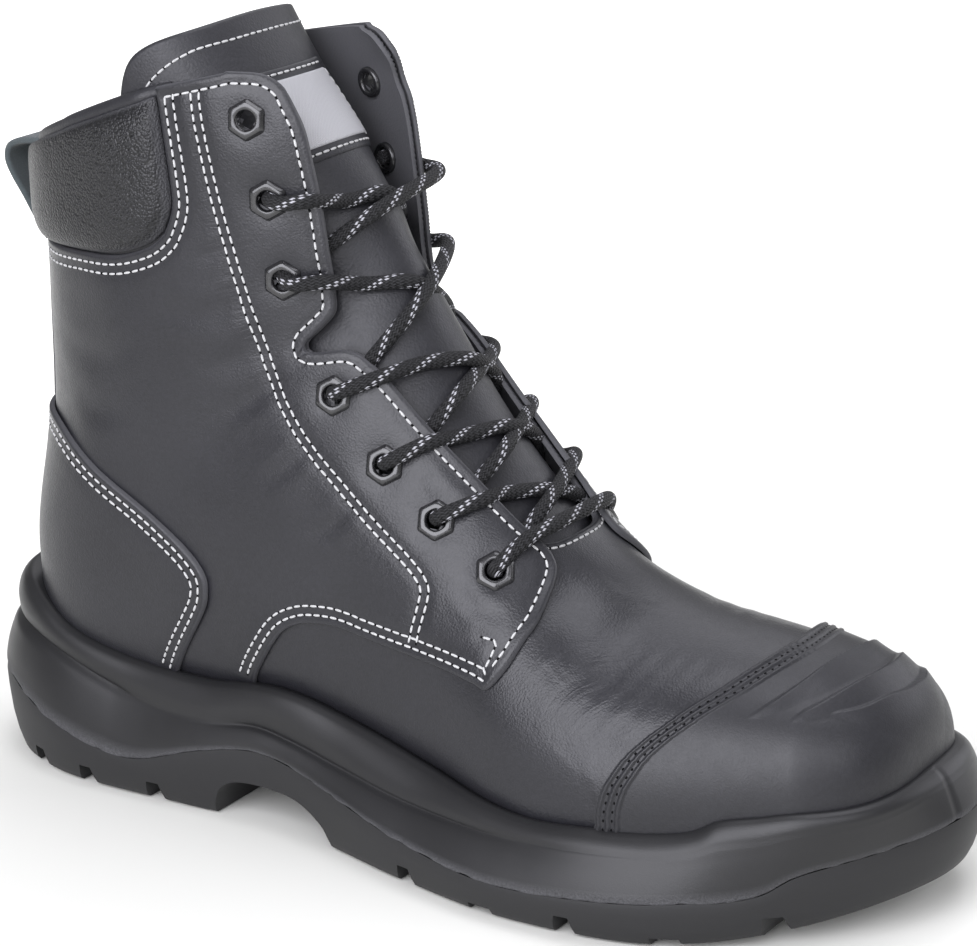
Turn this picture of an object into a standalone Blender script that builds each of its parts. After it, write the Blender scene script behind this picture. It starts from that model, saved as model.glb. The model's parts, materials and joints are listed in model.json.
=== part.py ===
"""Laced safety boot, right foot: a hollow leather upper on a moulded two-part sole.

Lengths are millimetres until a mesh is made. x runs from the back of the heel to the toe,
y is negative on the outer (lateral) side, z is up from the floor.
"""
import math
from collections import namedtuple

import bmesh
import bpy
import numpy as np
from mathutils import Vector
from mathutils.bvhtree import BVHTree

MM = 0.001
ORIGIN = (152.97, -2.54)    # plan point under the middle of the boot, in the heel frame
GAP = 0.3                   # clearance between neighbouring pieces
BACK_OUT, FRONT_OUT = -60.0, 340.0      # cutting shapes reach past the boot to these
FLOOR_OUT, TOP_OUT = -20.0, 300.0
SIDE_OUT = 90.0

# Leather and padding
WALL = 2.0                  # upper's own wall
OVERLAY = 1.7               # leather laid over the upper
PAD_EDGE = 1.6              # collar pad where it is stitched down
PAD_BULGE = 4.2             # extra height of the pad at its fullest
CAP_THICK = 2.0             # moulded scuff cap
CAP_BEAD = 1.1              # raised band along the cap's rear edge
CAP_RIB = 0.9               # raised ribs over the toe
TONGUE_THICK = 2.6
INSOLE_THICK = 4.0

# Levels above the upper's surface, built up from the layers
LEVEL_1 = GAP
LEVEL_1_TOP = LEVEL_1 + OVERLAY
LEVEL_2 = LEVEL_1_TOP + GAP
LEVEL_2_TOP = LEVEL_2 + OVERLAY

# Fineness of the last's grid
AROUND = 24
NOSE_RINGS = 5
CURVED_ROWS = (0, 1, 2, 3, 4, 7, 8)     # a ring halves the span after each of these rows
COLLAR_RUN_ON = 0.6         # rows that a cutting form runs on past the collar

# Sections of the last, toe to collar. Each is a flat loop from a point under or behind the foot
# (bx, bz) to one on top or in front (tx, tz); tongue is how far the tongue lies behind the top point.
Row = namedtuple("Row", "name bx bz tx tz lateral medial centre widest low high tongue")
LAST = (
    Row("toe", 279, 21, 275, 67, 37, 35, 4, .34, 3.2, 2.5, 0),
    Row("cap", 256, 17, 252, 71.5, 44.5, 41.5, 3, .32, 3.4, 2.3, 0),
    Row("ball", 226, 14, 222, 76.3, 50, 46, 1, .30, 3.6, 2.1, 2),
    Row("vamp", 196, 15, 199, 88.5, 48.5, 43.5, 0, .32, 3.4, 2.05, 3),
    Row("instep", 165, 19, 182, 109, 43, 38.5, 0, .36, 3.0, 2.0, 3),
    Row("waist", 132, 23, 167, 130.5, 40, 36.5, 0, .38, 2.8, 2.0, 4.5),
    Row("shank", 98, 25, 156, 150, 39, 36.5, 0, .40, 2.8, 2.0, 5.5),
    Row("seat", 61, 26, 150, 166, 38.5, 36, 0, .40, 2.8, 2.0, 8.5),
    Row("heel", 24.5, 29, 147, 180, 37.5, 36, 0, .40, 2.6, 2.0, 13),
    Row("counter", 13.5, 58, 145, 191, 37.5, 36, 0, .42, 2.3, 2.1, 16.5),
    Row("tendon", 18, 100, 142, 200, 37, 36, 0, .45, 2.1, 2.1, 20),
    Row("ankle", 18.5, 140, 138, 209, 37, 36, 0, .47, 2.1, 2.2, 23),
    Row("shaft", 18, 172, 132, 216, 37, 36, 0, .48, 2.1, 2.3, 23.5),
    Row("collar", 18, 191, 125, 222, 37, 36, 0, .48, 2.1, 2.3, 20),
)
NOSE_TIP = (297.5, 7.0, 41.0)
NOSE_FULLNESS = 0.8         # below 1 blunts the nose
ROW_SIZES = np.array([row[1:] for row in LAST], float)
COLLAR = len(LAST) - 1
HEEL = 8

# Plan of the tread on the floor, back of the heel to the toe
PLAN_LATERAL = ((0, 0), (8, -25.5), (36, -41), (80, -42), (120, -41.3), (165, -52.6), (205, -59),
                (248, -53), (284, -29.5), (306, 4))
PLAN_MEDIAL = ((306, 4), (298, 36), (268, 51), (225, 53.5), (180, 45), (130, 37), (80, 37),
               (38, 39), (8, 25.5))
SOLE_STATIONS = 24          # along each side
JOINT_ACROSS = 4            # faces across the curved joint between the two layers
FLAT_ACROSS = 2             # and across the flat tread

# Side of the sole by length: height of its top edge, where its groove runs between parting line
# and top, groove depth, parting line, level of the joint under the foot, and lip outside the upper.
Side = namedtuple("Side", "x top groove depth parting core lip")
SOLE_SIDE = (
    Side(-4, 56, .57, 2.2, 27, 17, 6.5),
    Side(12, 55, .57, 2.2, 25.5, 17, 6.5),
    Side(24, 50.5, .64, 2.2, 22, 16, 6.5),
    Side(36, 45.5, .70, 2.0, 18, 14.5, 6.5),
    Side(52, 41.5, .68, 1.6, 13.8, 13, 6.5),
    Side(68, 39.3, .60, 1.0, 13, 12.5, 6.5),
    Side(90, 38.8, .42, .8, 20, 15, 6),
    Side(108, 41.5, .36, 1.4, 23.5, 17, 5),
    Side(122, 41.2, .32, 1.4, 22.5, 16.5, 4.5),
    Side(140, 36.8, .35, 1.4, 19.2, 14, 4),
    Side(165, 31, .45, 1.4, 14.5, 11, 4),
    Side(190, 27.7, .62, 1.2, 11.5, 9.5, 4),
    Side(207, 27, .69, .8, 11, 9, 4),
    Side(225, 28.4, .69, .3, 12, 9, 4),
    Side(245, 29.6, .69, 0, 13.5, 10, 4.5),
    Side(256, 31.5, .69, 0, 14.7, 11.5, 5),
    Side(263, 35.3, .69, 0, 15, 12.5, 5),
    Side(272, 37.2, .69, 0, 17, 13.5, 5),
    Side(280, 39, .69, 0, 22, 14.5, 5),
    Side(295, 40.5, .69, 0, 26, 16, 5),
    Side(312, 43.5, .69, 0, 31, 17, 5),
)
SIDE_SIZES = {name: np.array([getattr(row, name) for row in SOLE_SIDE], float) for name in Side._fields}
PARTING_OUTSET = 3.0        # the sole flares out this far from floor to parting line
JOINT_RIM = 10.0            # width over which the joint rises to the parting line

# Rings of the midsole's wall: part of the way up its band and bulge, below and above the groove
BAND_LOWER = ((0.0, 0.0), (0.12, 0.6), (0.5, 1.0), (0.86, 0.5))
BAND_UPPER = ((0.14, 0.2), (0.42, 1.2), (0.78, 0.8), (1.0, -0.9))
# Rings of the outsole's wall: part of the height from floor to parting line and outset
OUTSOLE_WALL = ((0.0, 0.0), (0.4, 2.2), (0.85, 3.3), (1.0, PARTING_OUTSET))

# Tread
TOE_SPRING = (235.0, 70.0, 11.5)    # starts at x, runs this far, rises this much
HEEL_BEVEL = (20.0, 7.0)            # length and rise at the back of the heel
ARCH = ((96, -5), (98.5, 3.5), (105.5, 11), (113, 12.8), (124, 12.3), (132, 9.3), (136.5, 5), (139, -5))
Groove = namedtuple("Groove", "x width depth")
SIDE_GROOVES = (Groove(27, 4, 6), Groove(48, 4, 6), Groove(71, 4, 6), Groove(167, 4.5, 6),
                Groove(192, 3, 4), Groove(218, 5, 6), Groove(249, 6, 6), Groove(272, 4.5, 5))
CENTRE_GROOVES = (Groove(38, 3.5, 5), Groove(60, 3.5, 5), Groove(84, 3.5, 5), Groove(154, 4, 5),
                  Groove(180, 4, 5), Groove(205, 4, 5), Groove(233, 4, 5))
Channel = namedtuple("Channel", "x0 x1 y width depth")
CHANNELS = (Channel(28, 112, -13, 4, 5), Channel(28, 112, 13, 4, 5),
            Channel(128, 273, -19, 4.5, 5), Channel(128, 271, 15, 4.5, 5))
SIDE_GROOVE_END = 15.0      # side grooves run in to this from the middle line
CENTRE_GROOVE_ENDS = (-15.0, 13.0)
LASTING_MARGIN = 20.0       # the upper turns under and stops this far inside the tread's plan
LASTING_CUT_TOP = 33.0      # height over which its underside is cut open
INSOLE_TOE_RISE = 8.0       # the insole's top rises past its first and last rows
INSOLE_HEEL_RISE = 4.0

# Cutting lines in side view (x, z)
THROAT = ((106, 218.5), (115, 216.5), (120.5, 209), (126, 194), (129.7, 177), (133.2, 163), (132.3, 156),
          (124.5, 145.8), (125.8, 143.2), (136, 144.3), (141, 141), (146, 135.5), (167.5, 116),
          (188.4, 95), (196, 88.5), (199, 99))
WING = ((92, 10), (101.5, 41), (108.5, 54), (114, 62.5), (122.5, 69), (138.8, 71.5), (169.7, 66.9),
        (188, 61.3))
WING_FRONT = ((191.2, 60.7), (195.7, 63.5), (200, 72), (201.2, 79), (199.8, 86.5), (196.7, 90.5), (191, 96))
COUNTER_TOP = ((18, 109.5), (36.9, 107), (57, 95.3), (74.5, 85.1), (87, 79), (93.3, 74.5), (93.8, 69),
               (91, 61), (77, 40), (66, 10))
PAD_LOWER = ((0, 161.5), (35.5, 162), (46, 161.5), (59, 162.4), (74.3, 166), (83.4, 170.6), (88, 176.5))
PAD_FRONT = ((88, 176.5), (89.9, 187), (88.6, 194), (87.4, 204))
PAD_STATIONS = np.array([10, 10.6, 10.9, 11.3, 11.8, 12.4, 12.8, 13, 13.6])
PAD_ROLL = 14.0             # distance from its stitched edge over which the pad swells
PAD_TOP_SHARE = 0.4         # of the bulge is left where the pad rolls over the collar
BACKSTAY_HALF = 9.0
BACKSTAY_SPAN = (112.0, 155.0)

# Rear edge of the scuff cap in plan, and its ribs
CAP_REAR = ((228.5, -50), (235, -45), (247, -35), (256.5, -23), (261.6, -6), (261.6, 14), (256.5, 30),
            (247, 39), (235, 47), (228.5, 51))
CAP_BAND = (0.5, 7.0)       # from and to, ahead of that edge
Rib = namedtuple("Rib", "end crown span width")
RIBS = (Rib(266, 279, 33, 3.6), Rib(276, 286, 29, 3.4), Rib(284.5, 292, 24, 3.2))
RIB_CENTRE = 5.0
RIB_TIP = 0.4               # width left at a rib's ends
RIB_FLOOR = 48.0

# Tongue: from its joint under the vamp to above the collar, width as a share of the section
TONGUE_FOOT = 3.0
TONGUE_TOP = 15.3
TONGUE_SIDE_DROP = 1.9      # rows by which its corners are lower than its middle
TONGUE_WIDTH = (0.10, 0.265)
TONGUE_CLEAR = 0.5          # below the inside of the wall
LABEL_SPAN = (10.9, 13.6)
LABEL_SHARE = 0.055
LABEL_THICK = 0.7
LABEL_SEAT = 0.7            # it clears the tongue's facets by this

# Hexagon eyelets, top to bottom, as seen from the side
EYELETS = ((108.3, 207.3), (114.2, 185.3), (118.2, 163.6), (134.3, 131.8), (150.1, 115.4), (167.5, 101.6),
           (185.6, 89.4))
EYELET_FLATS = 10.5
EYELET_HOLE = 5.6
EYELET_THICK = 1.3
EYELET_SEAT = 0.8           # its flat back clears the curved facing by this
EYELET_BEVEL = 0.9          # its outer edge draws in to this share at the top
LACE_RADIUS = 2.3
LACE_CLEAR = 1.8            # above the eyelets
FIRST_LACED = 1             # the top pair of eyelets is empty
RIDGE_LEAD = 12.0           # the tongue's ridge is higher than the eyelets beside it
LACE_LIFT = 2.0             # crossings clear the tongue by this
EDGE_SHARE = 0.58           # of the way from eyelet to crossing, a lace bends over the facing's edge
BAR_LIFT = (2.0, 0.0, 3.0)
STRAND_STOP = 0.2           # a strand stops this far from its crossing to the next eyelet
UNDER_DROP = 0.3

# Pull loop, in the middle plane (x, z)
LOOP_PATH = ((14.8, 157), (9.5, 159.6), (3.2, 164.5), (0.4, 171.5), (1.2, 179.5), (5.6, 185.6), (11.2, 188.6))
LOOP_WIDTH = 20.0
LOOP_THICK = 2.0


def clear_scene():
    for obj in list(bpy.data.objects):
        bpy.data.objects.remove(obj, do_unlink=True)


def curve(points, steps):
    """Points of a smooth open curve through the given ones, steps to a span."""
    knots = np.array(points, float)
    padded = np.vstack([2 * knots[0] - knots[1], knots, 2 * knots[-1] - knots[-2]])
    found = []
    for i in range(len(knots) - 1):
        for t in np.arange(steps) / steps:
            found.append(catmull(*padded[i:i + 4], t))
    found.append(knots[-1])
    return np.array(found)


def catmull(p0, p1, p2, p3, t):
    cubic = 3 * p1 - p0 - 3 * p2 + p3
    square = 2 * p0 - 5 * p1 + 4 * p2 - p3
    return 0.5 * (2 * p1 + (p2 - p0) * t + square * t ** 2 + cubic * t ** 3)


def distance_to_line(points, line):
    """Shortest distance from each flat point to a line of straight pieces."""
    line = np.array(line, float)
    span = np.diff(line, axis=0)
    away = points[:, None] - line[None, :-1]
    along = np.clip((away * span).sum(2) / (span ** 2).sum(1), 0, 1)
    return np.linalg.norm(away - along[..., None] * span, axis=2).min(axis=1)


def round_over(share):
    """Quarter round from 0 to 1."""
    return np.sqrt(1 - (1 - np.clip(share, 0, 1)) ** 2)


# The last's own function

def row_sizes(station):
    """Sizes of the section at a station: 0 is the toe row, below 0 the nose, past the collar straight on."""
    if station < 0:
        return nose_sizes(1 + station)
    if station > COLLAR:
        step = ROW_SIZES[COLLAR] - ROW_SIZES[COLLAR - 1]
        return ROW_SIZES[COLLAR] + step * (station - COLLAR)
    i = min(int(station), COLLAR - 1)
    before = ROW_SIZES[i - 1] if i > 0 else 2 * ROW_SIZES[0] - ROW_SIZES[1]
    after = ROW_SIZES[i + 2] if i + 2 <= COLLAR else 2 * ROW_SIZES[COLLAR] - ROW_SIZES[COLLAR - 1]
    return catmull(before, ROW_SIZES[i], ROW_SIZES[i + 1], after, station - i)


def nose_sizes(share):
    """Sections of the nose shrink on a quarter round to its tip."""
    size = Row("nose", *ROW_SIZES[0])
    angle = share * math.pi / 2
    width = math.sin(angle) ** NOSE_FULLNESS
    back = 1 - math.cos(angle)
    tip_x, tip_y, tip_z = NOSE_TIP
    return np.array(size._replace(
        bx=tip_x + (size.bx - tip_x) * back,
        tx=tip_x + (size.tx - tip_x) * back,
        bz=tip_z + (size.bz - tip_z) * width,
        tz=tip_z + (size.tz - tip_z) * width,
        lateral=size.lateral * width,
        medial=size.medial * width,
        centre=tip_y + (size.centre - tip_y) * back,
    )[1:], float)


def section(sizes, shares, tongue=0.0):
    """Points of one section at shares of its loop: 0 below or behind, 0.5 on top, lateral side first.

    tongue 1 draws the top point back to the tongue's line.
    """
    size = Row("section", *sizes)
    fine = np.linspace(0, 2 * math.pi, 481)
    cos, sin = np.cos(fine), np.sin(fine)
    power = 2 / np.where(cos >= 0, size.low, size.high)
    rise = np.where(cos >= 0, size.widest * (1 - np.abs(cos) ** power),
                    size.widest + (1 - size.widest) * np.abs(cos) ** power)
    half = np.where(sin >= 0, -size.lateral, size.medial)
    height = math.hypot(size.tx - size.bx, size.tz - size.bz)
    rise = rise * (1 - tongue * size.tongue / height * np.clip(rise, 0, 1))
    points = np.stack([size.bx + (size.tx - size.bx) * rise,
                       size.centre + half * np.abs(sin) ** power,
                       size.bz + (size.tz - size.bz) * rise], -1)
    run = np.concatenate([[0], np.cumsum(np.linalg.norm(np.diff(points, axis=0), axis=1))])
    middle = len(fine) // 2
    position = np.where(shares < 0.5, shares / 0.5 * run[middle],
                        run[middle] + (shares - 0.5) / 0.5 * (run[-1] - run[middle]))
    return np.stack([np.interp(position, run, points[:, k]) for k in range(3)], -1)


def outward(grid):
    """Unit normals of a grid of rings, pointing out of the last."""
    along = np.gradient(grid, axis=0)
    across = np.roll(grid, -1, 1) - np.roll(grid, 1, 1)
    normal = np.cross(across, along)
    return normal / np.linalg.norm(normal, axis=2)[..., None]


STATIONS = np.concatenate([
    np.arange(1, NOSE_RINGS) / NOSE_RINGS - 1,
    sorted([*range(COLLAR + 1), *(row + 0.5 for row in CURVED_ROWS)]),
    [COLLAR + COLLAR_RUN_ON],
])
SHARES = np.arange(AROUND) / AROUND


def last_rings(offset, stations=STATIONS):
    """Rings of the last at some stations, moved out by an offset, and the point that closes their start.

    The offset may be one number, or a table of stations by shares.
    """
    grid = np.array([section(row_sizes(s), SHARES) for s in stations])
    normals = outward(grid)
    offset = np.broadcast_to(offset, grid.shape[:2])[..., None]
    if stations[0] > 0:
        return grid + normals * offset, grid[0].mean(axis=0)
    ahead = normals[0].mean(axis=0)
    tip = np.array(NOSE_TIP) + ahead / np.linalg.norm(ahead) * offset[0, 0]
    return grid + normals * offset, tip


def sheet_point(station, share, offset, tongue):
    """A point at any station and share, with its normal worked out from its neighbours."""
    step = 0.02
    here, ahead = section(row_sizes(station), np.array([share, share + step]), tongue)
    above = section(row_sizes(station + step), np.array([share]), tongue)[0]
    normal = np.cross(ahead - here, above - here)
    normal = normal / np.linalg.norm(normal)
    return here + normal * offset, normal


# Mesh makers

def add_object(name, vertices, faces, cutter=False):
    mesh = bpy.data.meshes.new(name)
    mesh.from_pydata([Vector(v) * MM for v in vertices], [], faces)
    mesh.validate()
    obj = bpy.data.objects.new(name, mesh)
    bpy.context.collection.objects.link(obj)
    obj.parent = BOOT
    if cutter:
        obj.hide_render = True
        obj.display_type = "WIRE"
    return obj


def finish(obj, colour, roughness, metallic=0.0):
    """Give a piece its material and smooth shading that breaks at its edges."""
    material = bpy.data.materials.new(obj.name)
    material.use_nodes = True
    shader = material.node_tree.nodes["Principled BSDF"]
    shader.inputs["Base Color"].default_value = (*colour, 1)
    shader.inputs["Roughness"].default_value = roughness
    shader.inputs["Metallic"].default_value = metallic
    obj.data.materials.append(material)
    obj.data.shade_smooth()
    obj.data.set_sharp_from_angle(angle=math.radians(35))
    return obj


def combine(obj, other, operation="DIFFERENCE"):
    modifier = obj.modifiers.new(f"{operation.lower()} {other.name}", "BOOLEAN")
    modifier.operation = operation
    modifier.solver = "EXACT"
    modifier.object = other
    return obj


def loft(name, rings, start, end, cutter=False, turn=None):
    """A closed skin from a start point through rings to an end point.

    Past ring number turn the skin runs back, and its faces split as those it runs beside.
    """
    count = len(rings[0])
    turn = len(rings) if turn is None else turn
    vertices = [start, *np.concatenate(rings), end]
    faces = []
    for j in range(count):
        k = (j + 1) % count
        faces.append((0, 1 + k, 1 + j))
        for i in range(len(rings) - 1):
            a = 1 + i * count
            b = a + count
            if i < turn:
                faces += [(a + j, a + k, b + k), (a + j, b + k, b + j)]
            else:
                faces += [(a + j, a + k, b + j), (a + k, b + k, b + j)]
        tail = 1 + (len(rings) - 1) * count
        faces.append((tail + j, tail + k, len(vertices) - 1))
    return add_object(name, vertices, faces, cutter)


def form(name, offset, cutter=True, stations=STATIONS):
    """The last as a filled form, moved out by an offset and run on past the collar."""
    rings, start = last_rings(offset, stations)
    return loft(name, rings, start, rings[-1].mean(axis=0), cutter)


def prism(name, outlines, axis, reach, cutter=True):
    """Flat outlines pushed along an axis between two levels; the outlines lie apart."""
    vertices, faces = [], []
    others = [k for k in range(3) if k != axis]
    for outline in outlines:
        base = len(vertices)
        count = len(outline)
        for level in reach:
            for point in outline:
                corner = [0.0, 0.0, 0.0]
                corner[axis] = level
                corner[others[0]], corner[others[1]] = point
                vertices.append(corner)
        faces.append([base + k for k in range(count)])
        faces.append([base + count + k for k in reversed(range(count))])
        for k in range(count):
            n = (k + 1) % count
            faces.append((base + k, base + count + k, base + count + n, base + n))
    obj = add_object(name, vertices, faces, cutter)
    face_outward(obj)
    return obj


def face_outward(obj):
    work = bmesh.new()
    work.from_mesh(obj.data)
    bmesh.ops.recalc_face_normals(work, faces=work.faces)
    work.to_mesh(obj.data)
    work.free()


def slab(name, front, back, cutter=False):
    """A closed sheet between two grids of points of the same shape."""
    rows, columns = front.shape[:2]
    vertices = np.concatenate([front.reshape(-1, 3), back.reshape(-1, 3)])
    faces = []
    far = rows * columns
    for i in range(rows - 1):
        for j in range(columns - 1):
            a = i * columns + j
            b = a + columns
            faces.append((a, a + 1, b + 1))
            faces.append((a, b + 1, b))
            faces.append((far + a, far + b + 1, far + a + 1))
            faces.append((far + a, far + b, far + b + 1))
    rim = [j for j in range(columns)]
    rim += [i * columns + columns - 1 for i in range(1, rows)]
    rim += [(rows - 1) * columns + j for j in reversed(range(columns - 1))]
    rim += [i * columns for i in reversed(range(1, rows - 1))]
    for a, b in zip(rim, rim[1:] + rim[:1]):
        faces.append((a, far + a, far + b))
        faces.append((a, far + b, b))
    obj = add_object(name, vertices, faces, cutter)
    face_outward(obj)
    return obj


def tube(name, path, radius, sides=6, cutter=False):
    """A round cord along a path, with flat ends."""
    path = np.array(path, float)
    tangents = np.gradient(path, axis=0)
    rings = []
    side = np.cross(tangents[0], (0, 0, 1))
    for point, tangent in zip(path, tangents):
        tangent = tangent / np.linalg.norm(tangent)
        side = side - tangent * (side @ tangent)
        side = side / np.linalg.norm(side)
        up = np.cross(tangent, side)
        angles = np.arange(sides) * 2 * math.pi / sides
        rings.append(point + radius * (np.cos(angles)[:, None] * side + np.sin(angles)[:, None] * up))
    obj = loft(name, rings, path[0], path[-1], cutter)
    face_outward(obj)
    return obj


# The sole's plan and side

def side_size(name, x):
    return np.interp(x, SIDE_SIZES["x"], SIDE_SIZES[name])


def floor_height(x):
    """Underside of the tread: flat, with toe spring and a bevel at the back of the heel."""
    start, run, rise = TOE_SPRING
    length, bevel = HEEL_BEVEL
    toe = rise * (np.clip((x - start) / run, 0, None)) ** 2
    return toe + bevel * np.clip(1 - x / length, 0, None) ** 2


def plan_ring():
    """The tread's plan as a ring, evenly spaced on each side, heel first and anticlockwise."""
    points = np.array(PLAN_LATERAL + PLAN_MEDIAL[1:], float)
    toe = len(PLAN_LATERAL) - 1
    count = len(points)
    sides = []
    for first, last in ((0, toe), (toe, count)):
        dense = []
        for i in range(first, last):
            around = [points[(i + k) % count] for k in (-1, 0, 1, 2)]
            dense += [catmull(*around, t) for t in np.arange(12) / 12]
        dense = np.array(dense + [points[last % count]])
        run = np.concatenate([[0], np.cumsum(np.linalg.norm(np.diff(dense, axis=0), axis=1))])
        even = np.linspace(0, run[-1], SOLE_STATIONS + 1)[:-1]
        sides.append(np.stack([np.interp(even, run, dense[:, k]) for k in range(2)], -1))
    return np.concatenate(sides)


PLAN = plan_ring()
PLAN_TANGENT = np.roll(PLAN, -1, 0) - np.roll(PLAN, 1, 0)
PLAN_NORMAL = np.stack([PLAN_TANGENT[:, 1], -PLAN_TANGENT[:, 0]], -1)
PLAN_NORMAL = PLAN_NORMAL / np.linalg.norm(PLAN_NORMAL, axis=1)[:, None]


def edge_ring(outset, height):
    """The plan moved out, at a height for each of its points."""
    return np.column_stack([PLAN + PLAN_NORMAL * outset, np.broadcast_to(height, len(PLAN))])


def skin_tree(offset):
    """The last's skin, moved out by an offset, for finding where a line meets it."""
    rings, tip = last_rings(offset)
    vertices = [Vector(v) for v in np.concatenate(rings)] + [Vector(tip)]
    faces = [(len(vertices) - 1, (j + 1) % AROUND, j) for j in range(AROUND)]
    for i in range(len(rings) - 1):
        for j in range(AROUND):
            a = i * AROUND + j
            b = i * AROUND + (j + 1) % AROUND
            faces.append((a, b, b + AROUND, a + AROUND))
    return BVHTree.FromPolygons(vertices, faces)


def lip_ring(grow):
    """The sole's top edge, a lip outside the upper all round."""
    skin = skin_tree(0.0)
    reach = 40.0
    ring = []
    for point, normal in zip(PLAN, PLAN_NORMAL):
        height = side_size("top", point[0])
        inward = Vector((-normal[0], -normal[1], 0))
        start = Vector((point[0], point[1], height)) - inward * reach
        hit = skin.ray_cast(start, inward)[0]
        lip = side_size("lip", point[0]) + grow
        ring.append((hit.x + normal[0] * lip, hit.y + normal[1] * lip, height + grow))
    return np.array(ring)


def joint_height(points):
    """Level of the joint between midsole and outsole: it rises to the parting line at the edge."""
    edge = PLAN + PLAN_NORMAL * PARTING_OUTSET
    inset = distance_to_line(points[:, :2], np.vstack([edge, edge[:1]]))
    rim = np.clip(1 - inset / JOINT_RIM, 0, 1) ** 2
    core = side_size("core", points[:, 0])
    return core + (side_size("parting", points[:, 0]) - core) * rim


def sole_body(name, rings, under, over, across, cutter=False):
    """A closed body between a lowest and a highest ring, filled across by rungs from side to side.

    under and over give the heights of the fillings, and across how many faces wide each is.
    """
    count = len(PLAN)
    vertices = [tuple(v) for ring in rings for v in ring]
    faces = []
    for i in range(len(rings) - 1):
        for j in range(count):
            a = i * count + j
            b = i * count + (j + 1) % count
            faces.append((a, b, b + count))
            faces.append((a, b + count, a + count))
    fillings = ((0, under, across[0], True), (len(rings) - 1, over, across[1], False))
    for ring_index, height, wide, flip in fillings:
        ring = rings[ring_index]
        rungs = [[ring_index * count]]
        for i in range(1, SOLE_STATIONS):
            left, right = ring_index * count + i, ring_index * count + count - i
            shares = np.arange(1, wide) / wide
            inner = ring[i] + (ring[count - i] - ring[i]) * shares[:, None]
            inner[:, 2] = height(inner)
            rungs.append([left, *range(len(vertices), len(vertices) + len(inner)), right])
            vertices += [tuple(v) for v in inner]
        rungs.append([ring_index * count + SOLE_STATIONS])
        for a, b in zip(rungs, rungs[1:]):
            for face in rung_faces(a, b):
                faces.append(face[::-1] if flip else face)
    return add_object(name, vertices, faces, cutter)


def rung_faces(a, b):
    """Triangles between two rungs, either of which may be a single point."""
    if len(a) == 1:
        return [(a[0], b[j], b[j + 1]) for j in range(len(b) - 1)]
    if len(b) == 1:
        return [(a[j], b[0], a[j + 1]) for j in range(len(a) - 1)]
    faces = []
    for j in range(len(a) - 1):
        faces.append((a[j], b[j], b[j + 1]))
        faces.append((a[j], b[j + 1], a[j + 1]))
    return faces


# Cutting pieces shared by several parts

def side_prism(name, outlines, y0=-SIDE_OUT, y1=SIDE_OUT):
    return prism(name, outlines, 1, (y0, y1))


def throat_cutter():
    """Everything in front of the facing edges, from above the collar down to the vamp."""
    return side_prism("throat_cut", [[(THROAT[0][0], TOP_OUT), *THROAT, (FRONT_OUT, TOP_OUT)]])


def pad_cutter(name, ease):
    """The collar pad's outline in side view, eased outwards to clear it."""
    edge = [(x + ease, z - ease) for x, z in PAD_LOWER + PAD_FRONT[1:]]
    back = [(BACK_OUT, TOP_OUT), (BACK_OUT, edge[0][1])]
    return side_prism(name, [[*back, *edge, (edge[-1][0], TOP_OUT)]])


def collar_height(x):
    """The plane of the collar in side view."""
    top = LAST[COLLAR]
    return top.bz + (top.tz - top.bz) / (top.tx - top.bx) * (x - top.bx)


def collar_cutter():
    """Everything above the plane of the collar."""
    line = [(x, collar_height(x)) for x in (BACK_OUT, SIDE_OUT * 2)]
    return side_prism("above_collar_cut", [[*line, (SIDE_OUT * 2, TOP_OUT), (BACK_OUT, TOP_OUT)]])


def wall_rings(grow):
    """Rings up the midsole's wall, from the parting line over the groove to the lip."""
    low = edge_ring(PARTING_OUTSET + grow, side_size("parting", PLAN[:, 0]))
    high = lip_ring(grow)
    out = np.column_stack([PLAN_NORMAL, np.zeros(len(PLAN))])
    groove = side_size("groove", PLAN[:, 0])[:, None]
    depth = side_size("depth", PLAN[:, 0])[:, None]
    rings = [low + (high - low) * part * groove + out * bulge for part, bulge in BAND_LOWER]
    rings.append(low + (high - low) * groove - out * (depth - grow))
    rings += [low + (high - low) * (groove + part * (1 - groove)) + out * bulge for part, bulge in BAND_UPPER]
    return rings


def midsole_blank(name, grow, cutter):
    """The midsole before the upper is let into it."""
    return sole_body(name, wall_rings(grow), joint_height,
                     lambda points: side_size("top", points[:, 0]) + grow,
                     (JOINT_ACROSS, FLAT_ACROSS), cutter)


# The pieces

def make_outsole():
    floor = floor_height(PLAN[:, 0])
    parting = side_size("parting", PLAN[:, 0]) - GAP
    rings = [edge_ring(outset, floor + (parting - floor) * part) for part, outset in OUTSOLE_WALL]
    outsole = sole_body("outsole", rings, lambda points: floor_height(points[:, 0]),
                        lambda points: joint_height(points) - GAP, (FLAT_ACROSS, JOINT_ACROSS))
    combine(outsole, side_prism("arch_cut", [ARCH]))
    for number, row in enumerate(CHANNELS):
        roof = [(x, floor_height(x) + row.depth) for x in np.linspace(row.x0, row.x1, 4)]
        outline = [(row.x0, FLOOR_OUT), *roof, (row.x1, FLOOR_OUT)]
        half = row.width / 2
        combine(outsole, side_prism(f"channel_cut_{number}", [outline], row.y - half, row.y + half))
    for place, rows, ends in (("lateral", SIDE_GROOVES, (-SIDE_OUT, -SIDE_GROOVE_END)),
                              ("medial", SIDE_GROOVES, (SIDE_GROOVE_END, SIDE_OUT)),
                              ("centre", CENTRE_GROOVES, CENTRE_GROOVE_ENDS)):
        outlines = []
        for row in rows:
            roof = floor_height(row.x) + row.depth
            start, end = row.x - row.width / 2, row.x + row.width / 2
            outlines.append([(start, FLOOR_OUT), (end, FLOOR_OUT), (end, roof), (start, roof)])
        combine(outsole, side_prism(f"{place}_groove_cut", outlines, *ends))
    return finish(outsole, (0.018, 0.018, 0.019), 0.55)


def make_midsole():
    midsole = midsole_blank("midsole", 0.0, False)
    combine(midsole, form("last_in_sole", GAP))
    return finish(midsole, (0.016, 0.016, 0.018), 0.42)


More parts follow.
